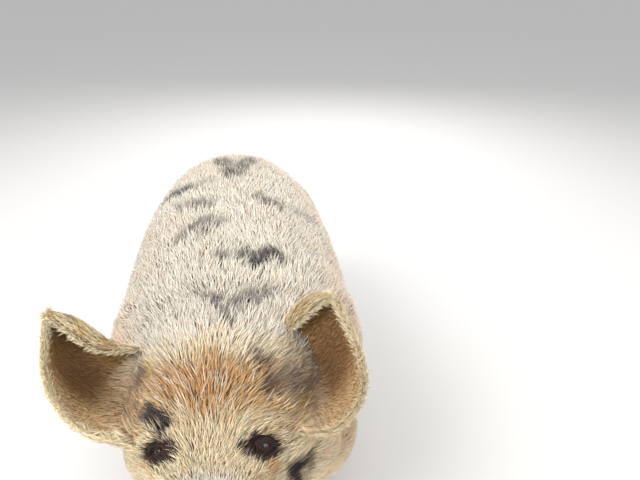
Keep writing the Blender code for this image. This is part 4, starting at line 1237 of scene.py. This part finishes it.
def sized(depth, draw):
    """Lengths, rises and widths of tufts in a coat of the given depth."""
    count = len(depth)
    lengths = (TUFT_LENGTH[0] + TUFT_LENGTH[1] * depth) * draw.uniform(0.75, 1.2, count)
    rises = depth * draw.uniform(*TUFT_RISE, count)
    widths = (TUFT_WIDTH[0] + TUFT_WIDTH[1] * lengths) * draw.uniform(0.7, 1.3, count)
    return lengths, rises, widths


def body_coat(skin, surface, ears, hair, draw):
    """Tufts over the head, neck, torso and legs."""
    roots, normals = scattered(skin, coat_density, draw)
    reach, more_rise, more_length = EAR_RUFF
    to_ear = np.full(len(roots), reach)
    before, beyond = EARS_ABOUT
    for i in np.nonzero((roots[:, 1] < before) & (np.abs(roots[:, 0]) > beyond))[0]:
        found = [ear.tree.find_nearest(Vector(roots[i]), reach)[3] for ear in ears]
        to_ear[i] = min([reach] + [away for away in found if away is not None])
    free = to_ear > EAR_GAP
    roots, normals, to_ear = roots[free], normals[free], to_ear[free]
    lengths, rises, widths = sized(coat_depth(roots), draw)
    beside = 1 - ramp(to_ear, EAR_GAP, reach)
    rises = rises + more_rise * beside * draw.random(len(roots))
    lengths = lengths + more_length * beside
    lies = coat_lie(roots, normals)
    seen = roots + lies * (SEEN * lengths[:, None])
    colours = varied(coat_colour(seen, draw.random(len(roots))), draw)
    across, along, up = in_head(roots).T
    x, y, z = roots.T
    start, behind, low = HEAD_PIECE
    is_head = (along > start) & (y < OCCIPUT.y + behind) & (up > low)
    is_leg = (z < LEG_PIECE) & ~is_head
    head_chart = turned_chart(np.arctan2(across, up), (along + HEAD_CHART[0]) / HEAD_CHART[1])
    body_chart = turned_chart(np.arctan2(x, z - BODY_AXIS), (y + BODY_CHART[0]) / BODY_CHART[1])
    is_hind = y > MIDDLE_Y
    turn = np.arctan2(x - np.sign(x) * STANCE, y - np.where(is_hind, HIND_FOOT_Y, FRONT_FOOT_Y))
    leg_chart = quarter(turned_chart(turn, z / LEG_PIECE), x > 0, is_hind)
    charts = np.where(is_head[:, None], head_chart, np.where(is_leg[:, None], leg_chart, body_chart))
    tufts = Tufts(roots, normals, lies, lengths, rises, widths, colours, charts)
    for name, which, slot in (("coat_head", is_head, "ginger_coat"),
                              ("coat_legs", is_leg, "cream_coat"),
                              ("coat_body", ~is_head & ~is_leg, "cream_coat")):
        coat_pieces(name, chosen(tufts, which), surface, hair, slot, draw)


EAR_SPOT = (-0.176, -0.03, 0.15)  # a dark spot near the right ear's tip, in the head's frame


def ear_colour(points, share, cross, inner):
    """An ear's colour: straw outside, brown in the hollow with painted shade deepest in the middle of its
    cup, peach low down and cream at the rim.
    """
    # painted shade: darkest where the ear's cup is deepest, across its middle and near its base
    deep = bell(cross, 0.1, 0.6) * (1 - ramp(share, 0.35, 0.95))
    hollow = tinted(
        EAR_INSIDE,
        (EAR_HOLLOW_SHADE, 0.85 * deep),
        (EAR_PEACH, ramp(-cross, 0.15, 0.7) * (1 - ramp(share, 0.5, 0.9))),
        (FRINGE, 0.8 * ramp(-cross, 0.8, 1.0)),
    )
    spot = 1 - ramp(np.linalg.norm(in_head(points) - np.array(EAR_SPOT), axis=1), 0.006, 0.016)
    outside = tinted(EAR_OUTSIDE, (FRINGE, 0.3 + 0.3 * waves(points, 0.04, 41)),
                     (mix(GREY, BROWN, 0.4), 0.75 * spot))
    return np.where(inner[:, None], hollow, outside)


def even(density):
    return lambda points, _: np.full(len(points), float(density))


def ear_coat(ear, hair, draw):
    """Tufts on both faces of an ear."""
    roots, normals = scattered(ear.form, even(EAR_DENSITY), draw)
    share, cross, inner, tipward, marginward, _ = ear.places(roots)
    ahead = np.clip(-cross, 0, 1)
    always, inside, outside = EAR_SWEEP
    outwards = np.where(inner, always + inside * ahead, outside * ahead)
    lies = unit(flat(tipward + marginward * outwards[:, None], normals))
    edge = np.clip(ramp(-cross, 0.7, 0.95) + ramp(share, 0.85, 0.98), 0, 1)
    on_outside, in_hollow, more = EAR_COAT_DEPTH
    lengths, rises, widths = sized(np.where(inner, in_hollow, on_outside) + more * edge, draw)
    base = 1 - ramp(share, *EAR_BASE)
    longer, longest, raised = EAR_BASE_HAIR
    lengths = lengths + longer + longest * base
    rises = rises + raised * base * draw.random(len(roots))
    as_body = coat_colour(roots, draw.random(len(roots)))
    colours = varied(mix(ear_colour(roots, share, cross, inner), as_body, 0.8 * base), draw)
    chart = np.stack([np.clip((cross + 1) / 2.5, 0, 1), share], 1)
    charts = quarter(chart, inner, ear.side > 0)
    tufts = Tufts(roots, normals, lies, lengths, rises, widths, colours, charts)
    coat_pieces("coat_ear_" + ear.name, tufts, surface_of(ear.form), hair, "ginger_coat", draw)


def strands(name, tufts, bend, hair, slot):
    """Tufts that stand free of the skin, bent part of the way by the vectors in bend."""
    roots, normals, lies, lengths, lift = tufts[:5]
    lifted = normals * lift[:, None]
    middles = roots + (lies * 0.5 + 0.6 * lifted + 0.3 * bend) * lengths[:, None]
    tips = roots + unit(lies + lifted + bend) * lengths[:, None]
    tuft_mesh(name, tufts, middles, tips, normals, hair, slot)


def ear_fringe(ear, hair, draw):
    """The pale fringe that stands past the ear's free edge."""
    count = FRINGE_COUNT
    row = draw.uniform(1, len(ear.rows) - 1.01, count)
    r = row.astype(int)
    rear = draw.random(count) < FRINGE_REAR
    edge = np.where(rear, ear.count - 1, draw.integers(0, FRINGE_ROWS, count))
    inland = np.where(rear, ear.count - 2, edge + 1)
    t = (row - r)[:, None]
    roots = ear.grid[r, edge] * (1 - t) + ear.grid[r + 1, edge] * t
    tipward = unit(ear.grid[r + 1, edge] - ear.grid[r, edge])
    marginward = unit(ear.grid[r, edge] - ear.grid[r, inland])
    out, along, scatter = FRINGE_LIE
    noise = draw.normal(0, scatter, (count, 3))
    lies = unit(out * marginward + along * tipward + noise)
    colours = varied(mix(FRINGE, EAR_OUTSIDE, 0.6 * draw.random(count)), draw)
    chart = np.stack([0.9 + 0.1 * draw.random(count), row / len(ear.rows)], 1)
    lengths = draw.uniform(*FRINGE_LENGTH, count)
    tufts = Tufts(roots, unit(np.cross(tipward, marginward)), lies, lengths, np.zeros(count),
                  draw.uniform(*FRINGE_WIDTH, count), colours, quarter(chart, 1, ear.side > 0))
    bend = FRINGE_BEND[0] * tipward + FRINGE_BEND[1] * noise
    strands("fringe_" + ear.name, tufts, bend, hair, "ginger_coat")


def hanging_coat(name, form, rows, tassel, colour, density, hair, draw):
    """Tufts down a hanging form such as the tail, longer towards its end."""
    rows = np.array(rows)
    roots, normals = scattered(form, even(density), draw)
    count = len(roots)
    last = len(rows) - 1
    nearest = np.argmin(np.linalg.norm(roots[:, None] - rows[None, :, :3], axis=2), axis=1)
    lies = unit(rows[np.minimum(nearest + 1, last), :3] - rows[np.maximum(nearest - 1, 0), :3])
    lies = unit(flat(lies, normals) + draw.normal(0, 0.09, (count, 3)))
    share = nearest / last
    lengths = draw.uniform(*HANGING_LENGTH, count)
    lengths += draw.uniform(0.4, 1.0, count) * tassel * ramp(share, *TASSEL_START)
    angle = np.arctan2(*(roots - rows[nearest, :3]).T[:2])
    lift = draw.uniform(*HANGING_LIFT, count)
    colours = varied(np.broadcast_to(colour, (count, 3)), draw)
    widths = HANGING_WIDTH[0] + HANGING_WIDTH[1] * lengths
    tufts = Tufts(roots, normals, lies, lengths, lift, widths, colours, turned_chart(angle, share))
    strands(name, tufts, np.array(HANGING_BEND), hair, "cream_coat")


def lashes(eye, hair, draw):
    """Dark lashes on the upper lid, in two rows, and a few on the lower."""
    line = np.array([tuple(p) for p in eye.margin(LASH_POINTS, EYE_RADIUS + 0.0018)])
    upper = line[UPPER_LASHES]
    roots = np.concatenate([upper, upper, line[LOWER_LASHES]])
    count = len(roots)
    out = unit(roots - np.array(eye.centre))
    away = unit(roots - line.mean(axis=0))
    lies = unit(0.8 * out + 0.7 * away + draw.normal(0, 0.12, (count, 3)))
    long, short = (draw.uniform(*span, count) for span in LASH_LENGTHS)
    lengths = np.where(np.arange(count) < 2 * len(upper), long, short)
    colours = varied(np.broadcast_to(LID_STRAND, (count, 3)), draw)
    charts = np.stack([np.linspace(0.01, 0.99, count), np.full(count, 0.5)], 1)
    tufts = Tufts(roots, away, lies, lengths, np.zeros(count), np.full(count, LASH_WIDTH), colours, charts)
    strands("lashes_" + eye.name, tufts, 0.35 * away - 0.25 * out, hair, "ginger_coat")


# Materials


class Look:
    """A material in the making: its nodes, and the shader that they end in."""

    def __init__(self, name, **inputs):
        self.material = bpy.data.materials.new(name)
        self.material.use_nodes = True
        self.tree = self.material.node_tree
        self.shader = self.filled(self.tree.nodes["Principled BSDF"], **inputs)

    def filled(self, node, **inputs):
        """Gives each named input of a node its value, or the output that feeds it."""
        for name, value in inputs.items():
            socket = node.inputs[name.replace("_", " ")]
            if isinstance(value, bpy.types.NodeSocket):
                self.tree.links.new(value, socket)
            else:
                socket.default_value = value
        return node

    def node(self, kind, **inputs):
        return self.filled(self.tree.nodes.new("ShaderNode" + kind), **inputs)

    def own(self):
        """The colour that the mesh's points carry."""
        made = self.node("Attribute")
        made.attribute_name = "coat"
        return made.outputs

    def tones(self, source, *stops):
        """A colour between two stops, each a position and a colour."""
        made = self.node("ValToRGB", Fac=source)
        for element, (position, colour) in zip(made.color_ramp.elements, stops):
            element.position = position
            element.color = (*colour, 1)
        return made.outputs["Color"]

    def product(self, a, b):
        made = self.node("Mix")
        made.data_type = "RGBA"
        made.blend_type = "MULTIPLY"
        return self.filled(made, Factor=1.0, A=a, B=b).outputs["Result"]

    def bumped(self, height, strength, distance):
        bump = self.node("Bump", Strength=strength, Distance=distance, Height=height)
        self.filled(self.shader, Normal=bump.outputs["Normal"])


def coat_material():
    """Hair: the tuft's own colour, darkened by painted shade at its root and pale at its tip."""
    look = Look("coat_hair", Roughness=0.62, Specular_IOR_Level=0.3, Sheen_Weight=0.06,
                Sheen_Roughness=0.5)
    own = look.own()
    # painted shade: the ramp darkens each tuft from its tip down to its root, among the other tufts
    shade = look.tones(own["Alpha"], (0.0, (0.52, 0.44, 0.38)), (0.85, (1.0, 1.0, 1.0)))
    look.filled(look.shader, Base_Color=look.product(own["Color"], shade))
    return look.material


def skin_material():
    """Bare or thinly haired skin: painted by its points, mottled and finely wrinkled."""
    look = Look("pig_skin", Roughness=0.66, Specular_IOR_Level=0.28, Subsurface_Weight=0.06,
                Subsurface_Radius=(0.006, 0.003, 0.002))
    place = look.node("TexCoord").outputs["Object"]
    mottle = look.node("TexNoise", Vector=place, Scale=90.0, Detail=5.0).outputs["Fac"]
    shade = look.tones(mottle, (0.3, (0.72, 0.7, 0.7)), (0.75, (1.08, 1.04, 1.02)))
    look.filled(look.shader, Base_Color=look.product(look.own()["Color"], shade))
    cells = look.node("TexVoronoi", Vector=place, Scale=900.0).outputs["Distance"]
    look.bumped(cells, 0.35, 0.0006)
    return look.material


def horn_material():
    """Horn, streaked down the claw's wall."""
    look = Look("claw_horn_streaked", Roughness=0.42)
    place = look.node("TexCoord").outputs["Object"]
    stretched = look.node("Mapping", Vector=place, Scale=(240.0, 240.0, 35.0)).outputs["Vector"]
    streaks = look.node("TexNoise", Vector=stretched, Scale=1.0, Detail=4.0).outputs["Fac"]
    look.filled(look.shader, Base_Color=look.tones(streaks, (0.3, HORN * 0.55), (0.72, HORN * 1.6)))
    look.bumped(streaks, 0.4, 0.0005)
    return look.material


def eye_material():
    look = Look("wet_eye", Roughness=0.18, Coat_Weight=0.35, Coat_Roughness=0.03, Specular_IOR_Level=0.35)
    look.filled(look.shader, Base_Color=look.own()["Color"])
    return look.material


def paint(obj, colours, alpha=None):
    """Gives each point of obj a colour."""
    layer = obj.data.attributes.new("coat", "FLOAT_COLOR", "POINT")
    alpha = np.ones(len(colours)) if alpha is None else alpha
    layer.data.foreach_set("color", np.concatenate([colours, alpha[:, None]], axis=1).ravel())


def finish_piece(obj, material, slot, *nodes):
    obj.data.transform(Matrix.Translation(MODEL_SHIFT))
    obj.data.materials.clear()
    obj.data.materials.append(material)
    obj.data.shade_smooth()
    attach(obj, "root")
    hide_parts(*nodes)


# Pieces


def make_eye(eye, material):
    """The eyeball, with its iris and pupil turned out and a little forward."""
    ball = ellipsoid("eyeball_" + eye.name, eye.centre, (EYE_RADIUS,) * 3, segments=96)
    points, _, _ = arrays_of(ball)
    outward, backward, upward = EYE_GAZE
    gaze = (eye.outward * outward + eye.backward * backward + Vector((0, 0, upward))).normalized()
    out = unit(points - np.array(eye.centre))
    angle = np.degrees(np.arccos(np.clip(out @ np.array(gaze), -1, 1)))
    height, width = EYE_BULGE
    move_points(ball, points + out * (height * bell(angle, 0, width))[:, None])
    paint(ball, tinted(PUPIL, *((tint, ramp(angle, start, end)) for tint, start, end in EYE_RINGS)))
    finish_piece(ball, material, "eye", "eye_" + eye.name)


# A claw from its sole up: height, width and length as shares of the whole, and shift forward
CLAW_ROWS = ((0.0, 0.92, 0.94, 0.02), (0.003, 1.0, 1.0, 0.02), (0.018, 0.97, 0.95, 0.015),
             (CORONET - GAP, 0.9, 0.84, 0.01))
GROWTH_RINGS = (0.012, 0.0042, 0.004)  # depth as a share of the claw, spacing, and lowest height
CLAW_SIDES = 48


def make_claw(name, side, foot_y, inner, material):
    """One half of a cloven foot, with growth rings down its wall."""
    depth, spacing, lowest = GROWTH_RINGS
    rings = []
    for height, wide, long, ahead in smooth_rows(CLAW_ROWS, 10):
        grown = 1 - depth * (0.5 + 0.5 * math.sin(height * 2 * math.pi / spacing)) * (height > lowest)
        ring = []
        for k in range(CLAW_SIDES):
            angle = 2 * math.pi * k / CLAW_SIDES
            x = CLAW_HALF_WIDTH * wide * grown * math.cos(angle)
            y = CLAW_HALF_LENGTH * long * grown * math.sin(angle)
            if y < 0:
                x = x * (1 - 0.3 * (y / CLAW_HALF_LENGTH) ** 2) - inner * 0.1 * y
            ring.append((side * STANCE + x + inner * (CLAW_HALF_WIDTH + CLEFT / 2),
                         foot_y + y - ahead, max(0.0, height)))
        rings.append(ring)
    finish_piece(loft(name + "_horn", rings), material, "claw_horn", name)


def make_dewclaw(name, side, foot_y, outer, material):
    lean = Matrix.Rotation(math.radians(28), 4, "X")
    claw = ellipsoid(name + "_horn", dewclaw_place(side, outer, foot_y), DEWCLAW_RADII, lean)
    finish_piece(claw, material, "claw_horn", name)


# Skin is darker than the hair on it by these shares, partly for its own tone and partly as painted shade
# under the coat: on the body, the head and the ears
BODY_SKIN_TONE_AND_SHADE = np.array([0.82, 0.66, 0.58])
HEAD_SKIN_TONE_AND_SHADE = np.array([0.52, 0.4, 0.32])
EAR_SKIN_TONE_AND_SHADE = np.array([0.62, 0.48, 0.42])
BLOTCH = np.array([0.55, 0.52, 0.56])  # and the snout's dark blotches than its skin


def skin_colours(points, ears):
    """The same markings as the coat's, darker under the hair by its own tone and painted shade, and the
    bare skin's own tones.
    """
    along = in_head(points)[:, 1]
    # under: the skin's own tone together with painted shade beneath the hair
    under = mix(BODY_SKIN_TONE_AND_SHADE, HEAD_SKIN_TONE_AND_SHADE, ramp(along, -0.02, 0.03))
    blotch = ramp(waves(points, 0.02, 51) + 0.6 * waves(points, 0.007, 52), 0.3, 1.3)
    colours = tinted(
        coat_colour(points, np.full(len(points), 0.5)) * under,
        (LID_SKIN, 1 - ramp(ragged_reach(points), *LID_MARK)),
        (mix(SNOUT_SKIN, SNOUT_SKIN * BLOTCH, 0.65 * blotch),
         ramp(along, HEAD_LENGTH - 0.018, HEAD_LENGTH - 0.004)),
    )
    x, y, z = points.T
    near = np.nonzero((y < -0.2) & (np.abs(x) > 0.06) & (z > 0.44))[0]
    for ear in ears:
        share, cross, inner, _, _, distance = ear.places(points[near])
        tone = ear_colour(points[near], share, cross, inner) * EAR_SKIN_TONE_AND_SHADE
        on_ear = distance < 0.0045
        colours[near[on_ear]] = tone[on_ear]
    return colours


def copied(obj):
    return new_object(obj.name, obj.data.copy())


def make_skin(ears, material):
    """The one skin of all the flesh, and the surface that the body's coat grows on."""
    place, radius = FINE_MUZZLE
    places = [(HEAD @ mirrored(place, side), radius) for _, side in SIDES]
    for eye in EYES:
        places += [(eye.centre + eye.outward * FINE_LIDS[0], radius) for radius in FINE_LIDS[1:]]
    skin = refined(fused_skin(body_forms()), places)
    sculpt(skin)
    bare = copied(skin)
    surface = surface_of(bare)
    tail = hanging_form("tail_form", TAIL_ROWS, TAIL_FLESH)
    wattles = [hanging_form("wattle_form", wattle_rows(side), WATTLE_FLESH) for _, side in SIDES]
    snout = snout_form()
    parts = [ear.form for ear in ears] + [tail] + wattles + [snout]
    boolean(skin, [copied(part) for part in parts], "UNION")
    blend_seams(skin, surface, parts)
    open_eyes(skin)
    boolean(skin, nostril_pits(), "DIFFERENCE")
    paint(skin, skin_colours(arrays_of(skin)[0], ears))
    flesh = ["torso", "neck", "head", "snout", "tail"]
    for side_name, _ in SIDES:
        flesh += ["ear_" + side_name, "wattle_" + side_name]
        flesh += [end + "_leg_" + side_name for end, _, _ in FEET]
    finish_piece(skin, material, "cream_coat", *flesh)
    remove([snout])
    return bare, surface, tail, wattles


# The scene. Lights: name, place, size and power in watts
LIGHTS = (
    ("key", (-1.6, -1.2, 2.6), 1.6, 95),
    ("fill", (2.2, -1.6, 1.4), 2.0, 40),
    ("rim", (0.6, 2.4, 2.2), 1.6, 60),
)
LIT_PLACE = Vector((0, -0.1, 0.35))
SKY = ((0.96, 0.97, 1.0, 1), 0.8)  # colour and strength
FLOOR_HALF = 30
FLOOR_COLOUR = (0.6, 0.59, 0.57, 1)
# The camera: place, heading from +Y towards +X, and tilt below the horizontal
CAMERA_PLACE = Vector((0.042, -0.81, 1.0))
CAMERA_HEADING = math.radians(8.7)
CAMERA_TILT = math.radians(30)
CAMERA_LENS = (36, 27)  # sensor's width and focal length, in millimetres


def make_floor():
    corners = [(x * FLOOR_HALF, y * FLOOR_HALF, 0) for x, y in ((-1, -1), (1, -1), (1, 1), (-1, 1))]
    floor = mesh_object("floor", corners, [(0, 1, 2, 3)])
    look = Look("pale_floor", Roughness=0.9, Base_Color=FLOOR_COLOUR)
    floor.data.materials.append(look.material)


def make_lights():
    world = bpy.data.worlds.new("studio")
    bpy.context.scene.world = world
    world.use_nodes = True
    sky = world.node_tree.nodes["Background"]
    sky.inputs["Color"].default_value, sky.inputs["Strength"].default_value = SKY
    bpy.context.scene.view_settings.view_transform = "Standard"
    for name, place, size, power in LIGHTS:
        light = bpy.data.lights.new(name, "AREA")
        light.size = size
        light.energy = power
        obj = new_object(name, light)
        obj.location = place
        obj.rotation_euler = (LIT_PLACE - Vector(place)).to_track_quat("-Z", "Y").to_euler()


def make_camera():
    data = bpy.data.cameras.new("camera")
    data.sensor_width, data.lens = CAMERA_LENS
    camera = new_object("camera", data)
    camera.location = CAMERA_PLACE + MODEL_SHIFT
    camera.rotation_euler = (math.pi / 2 - CAMERA_TILT, 0, -CAMERA_HEADING)
    bpy.context.scene.camera = camera


def main():
    draw = np.random.default_rng(SEED)
    make_camera()
    make_floor()
    make_lights()
    hair, horn, wet = coat_material(), horn_material(), eye_material()
    ears = [Ear(side_name, side) for side_name, side in SIDES]
    bare, surface, tail, wattles = make_skin(ears, skin_material())
    for eye in EYES:
        make_eye(eye, wet)
        lashes(eye, hair, draw)
    for side_name, side in SIDES:
        for end, foot_y, _ in FEET:
            for place, way in (("outer", 1), ("inner", -1)):
                make_claw("_".join((end, "claw", side_name, place)), side, foot_y, way * side, horn)
                make_dewclaw("_".join((end, "dewclaw", side_name, place)), side, foot_y, way, horn)
    body_coat(bare, surface, ears, hair, draw)
    hanging_coat("coat_tail", tail, TAIL_ROWS, TASSEL, mix(CREAM, TAN, 0.5), TAIL_DENSITY, hair, draw)
    for (side_name, side), wattle in zip(SIDES, wattles):
        hanging_coat("coat_wattle_" + side_name, wattle, wattle_rows(side), WATTLE_TASSEL, CHEEK,
                     WATTLE_DENSITY, hair, draw)
    for ear in ears:
        ear_coat(ear, hair, draw)
        ear_fringe(ear, hair, draw)
    remove([bare, tail] + wattles + [ear.form for ear in ears])


main()
